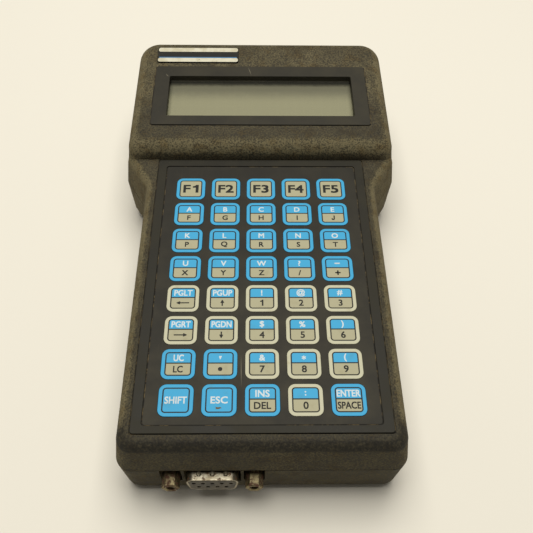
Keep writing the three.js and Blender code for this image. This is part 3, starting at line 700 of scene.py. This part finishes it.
def lower_case():
    """The lower case: a drafted shell with a lip, posts for the screws and the connector's openings."""
    foot = LOWER_DRAFT * (PARTING - BOTTOM_EDGE_RADIUS)
    edge = rounded_top(0, 0, BOTTOM_EDGE_RADIUS)
    stations = [(BOTTOM_EDGE_RADIUS - height, foot + inset) for height, inset in reversed(edge)]
    stations += [(BOTTOM_EDGE_RADIUS, foot), (PARTING - GAP / 2, 0)]
    body = skin_object("lower_case_shell", levels(CASE_CORNERS, stations))
    lip_inset = WALL / 2 + GAP / 2
    lip_stations = [(PARTING - WALL, lip_inset), (PARTING + LIP_HEIGHT, lip_inset)]
    boolean(body, [skin_object("lip", levels(CASE_CORNERS, lip_stations, 6))], "UNION")
    inset = WALL + GAP / 2
    hollow_stations = [(WALL, WALL + foot + BOTTOM_EDGE_RADIUS / 2), (PARTING - WALL, inset),
                       (PARTING + 2 * WALL, inset)]
    boolean(body, [skin_object("hollow", levels(CASE_CORNERS, hollow_stations, 4))])
    boolean(body, screw_posts(WALL / 2, lambda y: PARTING - BOSS_SPLIT), "UNION")
    counterbores = screw_bores(SCREW_HEAD_RADIUS + 2 * GAP, -MM, SCREW_SEAT)
    holes = screw_bores(SCREW_SHANK_RADIUS + 2 * GAP, 0, PARTING)
    return boolean(body, [*counterbores, *holes, *connector_cutters()])


def connector_cutters():
    """Openings for the connector's shell, jackscrews and flange, up through the lower case's front."""
    top = PARTING + LIP_HEIGHT + MM
    radius = 0.3 * MM
    reach = 4 * MM
    spans = [(CONNECTOR_X - SHELL_WIDTH / 2 - GAP, CONNECTOR_X + SHELL_WIDTH / 2 + GAP,
              CONNECTOR_Z - SHELL_HEIGHT / 2 - GAP)]
    side_room = 0.8 * MM
    room_below = 0.6 * MM
    for node in JACKSCREW_NODES:
        low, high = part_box(node)
        spans.append((low.x - side_room, high.x + side_room, low.z - room_below))
    cutters = []
    for left, right, bottom in spans:
        corners = rectangle((left, FRONT - reach), (right, FRONT + reach), radius)
        cutters.append(slab("slot", corners, bottom, top, 2))
    flange_low = (shell_low.x - GAP, shell_low.y + 6 * MM)
    flange_high = (shell_high.x + GAP, FRONT + 12 * MM)
    corners = rectangle(flange_low, flange_high, radius)
    return [*cutters, slab("flange_slot", corners, shell_low.z - GAP, top, 2)]


def build_cases():
    upper = upper_case()
    lower = lower_case()
    for shell, node in ((upper, "upper_case"), (lower, "lower_case")):
        finish_fixed(shell, CASE, "case_plastic", node, 0.25 * MM)


# ---- Keypad ----
KEY_LEGENDS = {
    "f1": ("", "F1"), "f2": ("", "F2"), "f3": ("", "F3"), "f4": ("", "F4"), "f5": ("", "F5"),
    "a_f": ("A", "F"), "b_g": ("B", "G"), "c_h": ("C", "H"), "d_i": ("D", "I"), "e_j": ("E", "J"),
    "k_p": ("K", "P"), "l_q": ("L", "Q"), "m_r": ("M", "R"), "n_s": ("N", "S"), "o_t": ("O", "T"),
    "u_x": ("U", "X"), "v_y": ("V", "Y"), "w_z": ("W", "Z"),
    "question_slash": ("?", "/"), "minus_plus": ("minus", "plus"),
    "page_left": ("PGLT", "left"), "page_up": ("PGUP", "up"),
    "1": ("!", "1"), "2": ("@", "2"), "3": ("#", "3"),
    "page_right": ("PGRT", "right"), "page_down": ("PGDN", "down"),
    "4": ("$", "4"), "5": ("%", "5"), "6": (")", "6"),
    "upper_lower": ("UC", "LC"), "quote_dot": ("quote", "dot"),
    "7": ("&", "7"), "8": ("*", "8"), "9": ("(", "9"),
    "shift": ("SHIFT", ""), "escape": ("ESC", ""), "insert_delete": ("INS", "DEL"),
    "0": (":", "0"), "enter_space": ("ENTER", "SPACE"),
}
PALE_RIMS = {"page_left", "page_up", "page_right", "page_down", *"0123456789"}
WORD_WIDTHS = {
    "F1": 5.2, "F2": 5.3, "F3": 5.3, "F4": 5.3, "F5": 5.3, "PGLT": 5.7, "PGUP": 6.1, "PGRT": 5.9,
    "PGDN": 6.2, "UC": 3.0, "LC": 2.8, "SHIFT": 6.4, "ESC": 4.9, "INS": 4.1, "DEL": 4.9, "ENTER": 6.9,
    "SPACE": 6.7,
}
LETTER_HEIGHT = 1.95 * MM
DIGIT_HEIGHT = 2.2 * MM
WORD_HEIGHT = 2.1 * MM
FUNCTION_HEIGHT = 3.5 * MM
RIM_WIDTH = 1.1 * MM
LINE_WIDTH = 0.4 * MM
DIVIDER_LOW = 0.05 * MM
DIVIDER_HIGH = 0.45 * MM
LEGEND_LIFT = 0.015 * MM
# A key's rounded upper edge, as depths below its face and insets.
KEY_EDGE = ((0.15 * MM, 0), (0.04 * MM, 0.05 * MM), (0, 0.18 * MM))
INK_RIM, INK_DARK, INK_BLUE, INK_BEIGE, INK_WHITE, INK_RUST = range(6)
FUNCTION_NAMES = ("F1", "F2", "F3", "F4", "F5")

# A plain 1 and J, which the built-in typeface draws otherwise, with capitals 1 high.
ONE = [(-0.05, 0.0), (0.12, 0.0), (0.12, 1.0), (-0.02, 1.0), (-0.12, 0.86), (-0.3, 0.8), (-0.3, 0.68),
       (-0.05, 0.72)]
LETTER_J = [(0.2, 1.0), (0.2, 0.28), (0.13, 0.1), (-0.02, 0.0), (-0.2, 0.03), (-0.32, 0.16), (-0.35, 0.33),
            (-0.2, 0.35), (-0.15, 0.2), (-0.05, 0.14), (0.03, 0.22), (0.05, 1.0)]


def text_shapes(text):
    """Triangles of a word in the built-in typeface, as lists of (x, y), centred, with capitals 1 high."""
    capital = typeset("H")
    height = max(y for shape in capital for _, y in shape) - min(y for shape in capital for _, y in shape)
    shapes = typeset(text.rstrip("1"))
    if text == "J":
        shapes = [[(x * height, y * height) for x, y in reversed(LETTER_J)]]
    if text.endswith("1"):
        right = max((x for shape in shapes for x, _ in shape), default=0)
        shapes.append([(right + (x + 0.55) * height, y * height) for x, y in ONE])
    xs = [x for shape in shapes for x, _ in shape]
    ys = [y for shape in shapes for _, y in shape]
    middle_x = (min(xs) + max(xs)) / 2
    middle_y = (min(ys) + max(ys)) / 2
    return [[((x - middle_x) / height, (y - middle_y) / height) for x, y in shape] for shape in shapes]


def typeset(text):
    """Faces of some text in the built-in typeface, as lists of (x, y)."""
    data = bpy.data.curves.new("legend", "FONT")
    data.body = text
    data.resolution_u = 3
    obj = add_object("legend", data)
    bpy.context.view_layer.update()
    mesh = bpy.data.meshes.new_from_object(obj.evaluated_get(bpy.context.evaluated_depsgraph_get()))
    shapes = [[tuple(mesh.vertices[v].co[:2]) for v in face.vertices] for face in mesh.polygons]
    bpy.data.meshes.remove(mesh)
    bpy.data.objects.remove(obj)
    return shapes


def bar(width, height):
    """A centred bar with barely rounded corners."""
    return outline(block(0, 0, width, height, 0.05 * MM), 0, 1)


def arrow(length, turn):
    """A solid arrow pointing left, turned anticlockwise by so many degrees."""
    head = 1.1 * MM
    half_head = 0.55 * MM
    half_shaft = 0.14 * MM
    tip = -length / 2
    shape = [(tip, 0), (tip + head, -half_head), (tip + head, -half_shaft), (-tip, -half_shaft),
             (-tip, half_shaft), (tip + head, half_shaft), (tip + head, half_head)]
    angle = math.radians(turn)
    c, s = math.cos(angle), math.sin(angle)
    return [(x * c - y * s, x * s + y * c) for x, y in shape]


def symbol_shapes(name):
    """Shapes of the legends that aren't letters, in metres, or None."""
    stroke = 0.38 * MM
    minus = bar(1.8 * MM, stroke)
    shapes = {
        "left": [arrow(4.0 * MM, 0)],
        "down": [arrow(2.2 * MM, 90)],
        "right": [arrow(4.0 * MM, 180)],
        "up": [arrow(2.2 * MM, 270)],
        "dot": [outline(block(0, 0, 1.2 * MM, 1.2 * MM, 0.6 * MM), 0, 4)],
        "quote": [[(0.35 * MM, 0.55 * MM), (-0.35 * MM, 0.55 * MM), (-0.12 * MM, -0.55 * MM)]],
        "minus": [minus],
        "plus": [minus, bar(stroke, 1.9 * MM)],
    }
    return shapes.get(name)


def legend_shapes(legend):
    """Shapes of a legend in metres, centred."""
    symbol = symbol_shapes(legend)
    if symbol:
        return symbol
    shapes = text_shapes(legend)
    height = LETTER_HEIGHT
    if legend.isdigit():
        height = DIGIT_HEIGHT
    if legend in WORD_WIDTHS:
        height = FUNCTION_HEIGHT if legend[1].isdigit() else WORD_HEIGHT
    natural = 2 * max(x for shape in shapes for x, _ in shape)
    across = WORD_WIDTHS[legend] * MM / natural if legend in WORD_WIDTHS else height
    return [[(x * across, y * height) for x, y in shape] for shape in shapes]


def add_legend(bm, legend, x, y, height, material):
    """Lays a legend's shapes on a face, once for each corner of its added stroke, to make it bold."""
    weight = 0.16 * MM if legend in FUNCTION_NAMES else 0.07 * MM
    copies = [(-weight, -weight), (weight, -weight), (weight, weight), (-weight, weight)]
    for layer, (dx, dy) in enumerate(copies, start=1):
        for shape in legend_shapes(legend):
            points = [(x + px + dx, y + py + dy) for px, py in shape]
            add_flat(bm, points, material, height + layer * LEGEND_LIFT / len(copies))


def key_piece(name, top, bottom):
    """One key: a rim, a dark line and a printed face, with its legends as thin flat ink."""
    node = f"key_{name}"
    low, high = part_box(node)
    x, y = middle(node)
    corners = block(x, y, KEY_SIZE, KEY_SIZE, KEY_CORNER_RADIUS)
    face_inset = RIM_WIDTH + LINE_WIDTH
    stations = [(low.z, 0), *((high.z - depth, inset) for depth, inset in KEY_EDGE)]
    stations += [(high.z, RIM_WIDTH), (high.z, face_inset)]
    bm = bmesh.new()
    bands = [INK_DARK, INK_RIM, INK_RIM, INK_RIM, INK_DARK]
    add_skin(bm, levels(corners, stations, 6), band_materials=bands, top=False)
    face = outline(corners, face_inset, 6)
    if top and bottom:
        add_stripes(bm, face, [y + DIVIDER_LOW, y + DIVIDER_HIGH], [INK_BEIGE, INK_DARK, INK_BLUE], high.z)
        half = KEY_SIZE / 2 - face_inset
        add_legend(bm, top, x, y + (DIVIDER_HIGH + half) / 2, high.z, INK_WHITE)
        add_legend(bm, bottom, x, y + (DIVIDER_LOW - half) / 2, high.z, INK_DARK)
    else:
        add_flat(bm, face, INK_BEIGE if bottom else INK_BLUE, high.z)
        add_legend(bm, bottom or top, x, y, high.z, INK_DARK if bottom else INK_WHITE)
    if name == "escape":
        add_flat(bm, rust_mark(x - 0.2 * MM, y - 2.6 * MM), INK_RUST, high.z + LEGEND_LIFT)
    pale = name in PALE_RIMS
    key = object_from(bm, f"{node}_cap", [PALE if pale else BLUE, DARK, BLUE, BEIGE, WHITE, RUST])
    finish_piece(key, node, "key_ink_cream" if pale else "key_ink_blue", node)


def rust_mark(x, y):
    """A small ragged stain round (x, y)."""
    reach = [(1.1, 0.1), (0.5, 0.35), (-0.2, 0.3), (-0.9, 0.45), (-0.6, 0.0), (-0.9, -0.25), (0.0, -0.3)]
    return [(x + px * MM, y + py * MM) for px, py in reach]


def overlay_piece():
    """The flat film round the keys, with a close window for each."""
    corners = rectangle(sheet_low, sheet_high, OVERLAY_CORNER_RADIUS)
    sheet = slab("keypad_overlay_film", corners, sheet_low.z, sheet_high.z, 6)
    size = KEY_SIZE + 2 * KEY_SEAM
    bm = bmesh.new()
    for name in KEY_LEGENDS:
        window = block(*middle(f"key_{name}"), size, size, KEY_CORNER_RADIUS + KEY_SEAM)
        add_skin(bm, levels(window, [(sheet_low.z - MM, 0), (sheet_high.z + MM, 0)], 6))
    boolean(sheet, [object_from(bm, "windows")])
    finish_fixed(sheet, FILM, "overlay_film", "keypad_overlay", 0.05 * MM, 1)


def frame_piece():
    """The raised strip round the keypad."""
    low = (rim_low.x + FRAME_SIDE_BAND, rim_low.y + FRAME_FRONT_BAND)
    high = (rim_high.x - FRAME_SIDE_BAND, rim_high.y - FRAME_REAR_BAND)
    strip = slab("keypad_frame_strip", rectangle(rim_low, rim_high, MM), rim_low.z, rim_high.z)
    boolean(strip, [slab("opening", rectangle(low, high, MM), rim_low.z - MM, rim_high.z + MM)])
    finish_fixed(strip, RIM, "trim_plastic", "keypad_frame", 0.18 * MM)


def groove_dirt(name, low, high, radius, bottom, top, transform=None):
    """Dirt lying in the joint line round a rectangle, a little below the surface."""
    clearance = 0.02 * MM
    corners = rectangle(low, high, radius)
    outer = levels(corners, [(bottom, clearance - GAP), (top, clearance - GAP)], 6)
    inner = levels(corners, [(bottom - MM, -clearance), (top + MM, -clearance)], 6)
    ring = skin_object(name, outer, transform)
    boolean(ring, [skin_object("cutter", inner, transform)])
    ring.data.materials.append(GRIME)
    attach(ring, "case")


def scratch(name, start, end, width, transform=None):
    """A fine pale scratch: a sliver pointed at both ends, lying just proud of the surface."""
    start = Vector(start)
    end = Vector(end)
    across = (end - start).cross(Vector((0, 0, 1))).normalized() * width / 2
    middle = (start + end) / 2
    corners = [start, middle + across, end, middle - across]
    lift = Vector((0, 0, 0.01 * MM))
    sliver = skin_object(name, [corners, [point + lift for point in corners]], transform)
    sliver.data.materials.append(SCRATCH)
    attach(sliver, "case")


def build_keypad():
    for name, (top, bottom) in KEY_LEGENDS.items():
        key_piece(name, top, bottom)
    overlay_piece()
    frame_piece()
    groove_dirt("dirt_round_overlay", sheet_low, sheet_high, OVERLAY_CORNER_RADIUS, sheet_low.z,
                sheet_high.z - 0.12 * MM)
    groove_dirt("dirt_round_frame", rim_low, rim_high, MM, rim_low.z, DECK - 0.5 * MM)
    overlay_scratch()


def overlay_scratch():
    """A long scratch on the film, in the gap between two columns of keys beside the 7 and escape keys."""
    seven_low, seven_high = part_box("key_7")
    escape_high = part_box("key_escape")[1]
    x = (escape_high.x + seven_low.x) / 2
    lean = 0.1 * MM
    start = (x - lean, seven_high.y - 2 * MM, sheet_high.z)
    end = (x + lean, escape_high.y - MM, sheet_high.z)
    scratch("overlay_scratch", start, end, 0.22 * MM)


# ---- Display ----
PANE_BOTTOM = GAP - WALL - LAYER_GAP


def window_corners(inset):
    """The bezel's window on the head, moved in by inset."""
    low = (BEZEL_LOW[0] + BEZEL_SIDE_BAND, BEZEL_LOW[1] + BEZEL_FRONT_BAND)
    high = (BEZEL_HIGH[0] - BEZEL_SIDE_BAND, low[1] + WINDOW_LENGTH)
    return rectangle(low, high, WINDOW_CORNER_RADIUS, inset)


def bezel_scratches():
    """Two short scratches on the bezel, placed in millimetres from the middle of its rear edge."""
    marks = [((-4.9, -0.5), (-3.6, -5.2)), ((-37.7, -4.6), (-36.3, -6.4))]
    for number, ends in enumerate(marks):
        start, end = [(x * MM, BEZEL_HIGH[1] + y * MM, BEZEL_PROUD) for x, y in ends]
        scratch(f"bezel_scratch_{number}", start, end, 0.3 * MM, ON_HEAD)


def bezel_piece():
    """The display's trim, with a collar down through the case's opening."""
    corners = rectangle(BEZEL_LOW, BEZEL_HIGH, MM)
    bezel = slab("display_bezel_trim", corners, GAP - BEZEL_RECESS, BEZEL_PROUD, transform=ON_HEAD)
    collar_corners = rectangle(BEZEL_LOW, BEZEL_HIGH, 0.5 * MM, BEZEL_LEDGE + GAP)
    boolean(bezel, [slab("collar", collar_corners, PANE_BOTTOM, 0, 4, ON_HEAD)], "UNION")
    boolean(bezel, [slab("opening", window_corners(0), -HEAD_CUT_DEPTH, MM, 6, ON_HEAD)])
    finish_fixed(bezel, TRIM, "trim_plastic", "display_bezel", 0.25 * MM)


def pane_piece():
    pane_top = PANE_BOTTOM + WINDOW_THICKNESS
    pane = slab("display_pane", window_corners(GAP), PANE_BOTTOM, pane_top, 6, ON_HEAD)
    pane.data.materials.append(PANE)
    finish_piece(pane, "case", "clear_pane", "display_window")


def build_display():
    bezel_scratches()
    bezel_piece()
    groove_dirt("dirt_round_bezel", BEZEL_LOW, BEZEL_HIGH, MM, GAP - BEZEL_RECESS, -0.15 * MM, ON_HEAD)
    pane_piece()


# ---- Nameplate ----
# Each stripe's start and end as shares of the plate's length, its inset from the sides, its corner
# radius and its ink's place in PLATE_INKS.
PLATE_INKS = [FOIL, DARK, STRIPE]
PLATE_STRIPES = [
    (0.02, 0.28, 0.2 * MM, 0.9 * MM, 0),
    (0.28, 0.345, 0.6 * MM, 0.05 * MM, 2),
    (0.71, 0.98, 0.2 * MM, 0.9 * MM, 0),
]


def build_nameplate():
    """A plain striped plate: cream bars with rounded ends, a dark band between and a blue line."""
    corners = rectangle(PLATE_LOW, PLATE_HIGH, NAMEPLATE_CORNER_RADIUS)
    bottom = GAP - NAMEPLATE_RECESS
    top = bottom + NAMEPLATE_THICKNESS
    edge = 0.1 * MM
    bm = bmesh.new()
    sides = levels(corners, [(bottom, 0), (top - edge, 0), (top, edge)], 8)
    add_skin(bm, sides, ON_HEAD, [1, 1], top=False)
    add_flat(bm, outline(corners, edge, 8), 1, top, ON_HEAD)
    for start, end, inset, radius, ink_number in PLATE_STRIPES:
        low = (PLATE_LOW[0] + inset, PLATE_LOW[1] + start * PLATE_LENGTH)
        high = (PLATE_HIGH[0] - inset, PLATE_LOW[1] + end * PLATE_LENGTH)
        stripe = outline(rectangle(low, high, radius), 0, 6)
        add_flat(bm, stripe, ink_number, top + LEGEND_LIFT, ON_HEAD)
    plate = object_from(bm, "nameplate_stripes", PLATE_INKS)
    finish_piece(plate, "case", "plate_foil", "nameplate")


# ---- Connector ----
FLANGE_FRONT = FRONT + WALL + 3 * GAP
FLANGE_REAR = FLANGE_FRONT + 0.8 * MM
CONTACT_PITCH = 2.77 * MM
CONTACT_ROW_PITCH = 2.84 * MM
CONTACT_BORE = 0.62 * MM
CONTACT_DEPTH = 5 * MM
CONTACT_ROWS = (5, 4)
FLANGE_CORNER_RADIUS = 1.5 * MM
FLANGE_HOLE = 1.6 * MM
JACKSCREW_FLATS = 4.75 * MM
JACKSCREW_BORE = 1.3 * MM
# A case screw's rounded head, as heights above its end and insets.
SCREW_CROWN = ((0, 0.9 * MM), (0.25 * MM, 0.3 * MM), (0.8 * MM, 0))


def connector_outline(inset):
    """The connector's D, seen from the front with its wide side up, as (x, z)."""
    top = SHELL_WIDTH / 2
    bottom = top - SHELL_HEIGHT * math.tan(SHELL_SLANT)
    half = SHELL_HEIGHT / 2
    places = [(-bottom, -half), (bottom, -half), (top, half), (-top, half)]
    return outline([(CONNECTOR_X + x, CONNECTOR_Z + z, SHELL_RADIUS) for x, z in places], inset, 8)


def shell_piece():
    """The plated shell and its flange, with the jackscrews' holes."""
    tube = prism("connector_shell_metal", connector_outline(0), shell_low.y, FLANGE_REAR)
    corners = rectangle((shell_low.x, shell_low.z), (shell_high.x, shell_high.z), FLANGE_CORNER_RADIUS)
    boolean(tube, [prism("flange", outline(corners), FLANGE_FRONT, FLANGE_REAR)], "UNION")
    bore = prism("bore", connector_outline(SHELL_SHEET), shell_low.y - MM, FLANGE_REAR + MM)
    stations = [(FLANGE_FRONT - MM, FLANGE_HOLE), (FLANGE_REAR + MM, FLANGE_HOLE)]
    holes = [rod("hole", stations, middle(node)[0], CONNECTOR_Z) for node in JACKSCREW_NODES]
    boolean(tube, [bore, *dimples(), *holes])
    finish_fixed(tube, TIN, "connector_plate", "connector_shell", 0.15 * MM)


def dimples():
    """Shallow round dents pressed into the shell: three in its top and two in its bottom."""
    depth = 0.28 * MM
    radius = 0.75 * MM
    pitch = 4 * MM
    y = shell_low.y + 1.9 * MM
    tools = []
    for side, count in ((1, 3), (-1, 2)):
        face = CONNECTOR_Z + side * SHELL_HEIGHT / 2
        stations = [(face - side * depth, radius * 0.5), (face, radius), (face + side * MM, radius * 1.4)]
        for dx in spread(count, pitch):
            tools.append(post("dimple", stations[::side], CONNECTOR_X + dx, y))
    return tools


def insulator_piece():
    """The insulator's face in the shell and its housing behind the flange, with the contacts' bores."""
    face_low, face_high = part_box("connector_insulator")
    face = connector_outline(SHELL_SHEET + LAYER_GAP)
    nose = prism("connector_insulator_face", face, face_low.y, FLANGE_REAR + MM)
    corners = rectangle((face_low.x, FLANGE_REAR + LAYER_GAP), (face_high.x, face_high.y), 0.4 * MM)
    boolean(nose, [slab("housing", corners, face_low.z, shell_high.z - MM, 3)], "UNION")
    stations = [(face_low.y - MM, CONTACT_BORE), (face_low.y + CONTACT_DEPTH, CONTACT_BORE)]
    sockets = []
    for row, count in enumerate(CONTACT_ROWS):
        z = CONNECTOR_Z + (0.5 - row) * CONTACT_ROW_PITCH
        for dx in spread(count, CONTACT_PITCH):
            sockets.append(rod("socket", stations, CONNECTOR_X + dx, z, 16))
    boolean(nose, sockets)
    finish_fixed(nose, INSULATOR, "connector_plastic", "connector_insulator", 0.08 * MM, 1)


def jackscrew_piece(node):
    """A hollow hexagonal standoff with a chamfered end, screwed through the connector's flange."""
    low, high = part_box(node)
    axis = (middle(node)[0], CONNECTOR_Z)
    corner = JACKSCREW_FLATS / 2 / math.cos(math.radians(30))
    chamfer = 0.35 * MM
    body = [(low.y, corner - chamfer), (low.y + chamfer, corner), (FLANGE_FRONT - LAYER_GAP, corner)]
    shank = [(FLANGE_FRONT - MM, JACKSCREW_BORE), (high.y, JACKSCREW_BORE)]
    bore = [(low.y - MM, JACKSCREW_BORE + 2 * MM), (low.y + 0.3 * MM, JACKSCREW_BORE),
            (FLANGE_FRONT - 2 * MM, JACKSCREW_BORE)]
    screw = rod(f"{node}_hexagon", body, *axis, 6)
    boolean(screw, [rod("shank", shank, *axis)], "UNION")
    boolean(screw, [rod("bore", bore, *axis)])
    finish_fixed(screw, BRASS, "aged_brass", node, 0.12 * MM)


def case_screw_piece(node):
    """A pan-head screw, head down, with a cross recess."""
    low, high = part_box(node)
    x, y = middle(node)
    seat = SCREW_SEAT - LAYER_GAP
    shank = SCREW_SHANK_RADIUS
    stations = [(low.z + rise, SCREW_HEAD_RADIUS - inset) for rise, inset in SCREW_CROWN]
    stations += [(seat, SCREW_HEAD_RADIUS), (seat, shank), (high.z - MM, shank), (high.z, 0.5 * MM)]
    screw = post(f"{node}_head", stations, x, y)
    arms = []
    for width, length in ((0.6 * MM, 2.8 * MM), (2.8 * MM, 0.6 * MM)):
        corners = block(x, y, width, length, 0.2 * MM)
        arms.append(slab("arm", corners, low.z - MM, low.z + 1.1 * MM, 2))
    boolean(screw, arms)
    finish_fixed(screw, STEEL, "black_steel", node, 0.08 * MM, 1)


def build_connector():
    shell_piece()
    insulator_piece()
    for node in JACKSCREW_NODES:
        jackscrew_piece(node)
    for node in SCREW_NODES:
        case_screw_piece(node)


def dress_kept_nodes():
    """Better materials on the inner parts, whose CAD shape stays."""
    finishes = {
        "lcd_glass": GLASS,
        "lcd_frame": FRAME_TIN,
        "lcd_board": LAMINATE,
        "main_board": LAMINATE,
        "keypad_circuit": SWITCH_FILM,
    }
    for node, material in finishes.items():
        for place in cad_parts[node].material_slots:
            place.material = material


build_cases()
build_keypad()
build_display()
build_nameplate()
build_connector()
dress_kept_nodes()


# ---- Stage, light and camera ----
FLOOR_REACH = 3.0
SOFTBOX_PLACE = Vector((0.0, 0.2, 1.2))
SOFTBOX_TARGET = Vector((0, 0.02, 0))
CAMERA_OFFSET = Vector((-2.3, -173.6, 188.2)) * MM
CAMERA_YAW = math.radians(1.64)
CAMERA_PITCH = math.radians(53.62)
CAMERA_ROLL = math.radians(1.31)


def floor():
    """A wide sheet of warm paper under the object."""
    bm = bmesh.new()
    add_flat(bm, [(-FLOOR_REACH, -FLOOR_REACH), (FLOOR_REACH, -FLOOR_REACH), (FLOOR_REACH, FLOOR_REACH),
                  (-FLOOR_REACH, FLOOR_REACH)], 0, 0)
    g = Graph("floor_paper")
    shade = g.range(g.noise(0.4, 1.0), 0.3, 0.7)
    paper = g.surface(g.mix(shade, (0.827, 0.797, 0.712), (0.811, 0.781, 0.697)), 0.9)
    object_from(bm, "floor", [paper])


def studio():
    """A dim warm world, and one large softbox overhead that leaves soft shadows."""
    scene = bpy.context.scene
    scene.view_settings.view_transform = "Standard"
    world = bpy.data.worlds.new("studio")
    world.use_nodes = True
    background = world.node_tree.nodes["Background"]
    background.inputs["Color"].default_value = (1.0, 0.95, 0.86, 1)
    background.inputs["Strength"].default_value = 0.14
    scene.world = world
    data = bpy.data.lights.new("softbox", "AREA")
    data.shape = "RECTANGLE"
    data.size = 0.9
    data.size_y = 0.95
    data.energy = 17.0
    data.color = (1.0, 0.97, 0.90)
    light = add_object("softbox", data)
    light.location = SOFTBOX_PLACE
    light.rotation_euler = (SOFTBOX_TARGET - SOFTBOX_PLACE).to_track_quat("-Z", "Y").to_euler()


def camera():
    """The camera stands in front of and above the keypad, placed from the middle of the F3 key."""
    key_face = Vector((*middle("key_f3"), DECK))
    level = math.cos(CAMERA_PITCH)
    forward = Vector((math.sin(CAMERA_YAW) * level, math.cos(CAMERA_YAW) * level, -math.sin(CAMERA_PITCH)))
    right = Vector((math.cos(CAMERA_YAW), -math.sin(CAMERA_YAW), 0))
    up = right.cross(forward)
    turned_right = math.cos(CAMERA_ROLL) * right + math.sin(CAMERA_ROLL) * up
    turned_up = -math.sin(CAMERA_ROLL) * right + math.cos(CAMERA_ROLL) * up
    data = bpy.data.cameras.new("camera")
    data.sensor_width = 36.0
    data.lens = 47.23
    data.clip_start = 0.01
    view = add_object("camera", data)
    turn = Matrix((turned_right, turned_up, -forward)).transposed()
    view.matrix_world = Matrix.Translation(key_face + CAMERA_OFFSET) @ turn.to_4x4()
    bpy.context.scene.camera = view


floor()
studio()
camera()
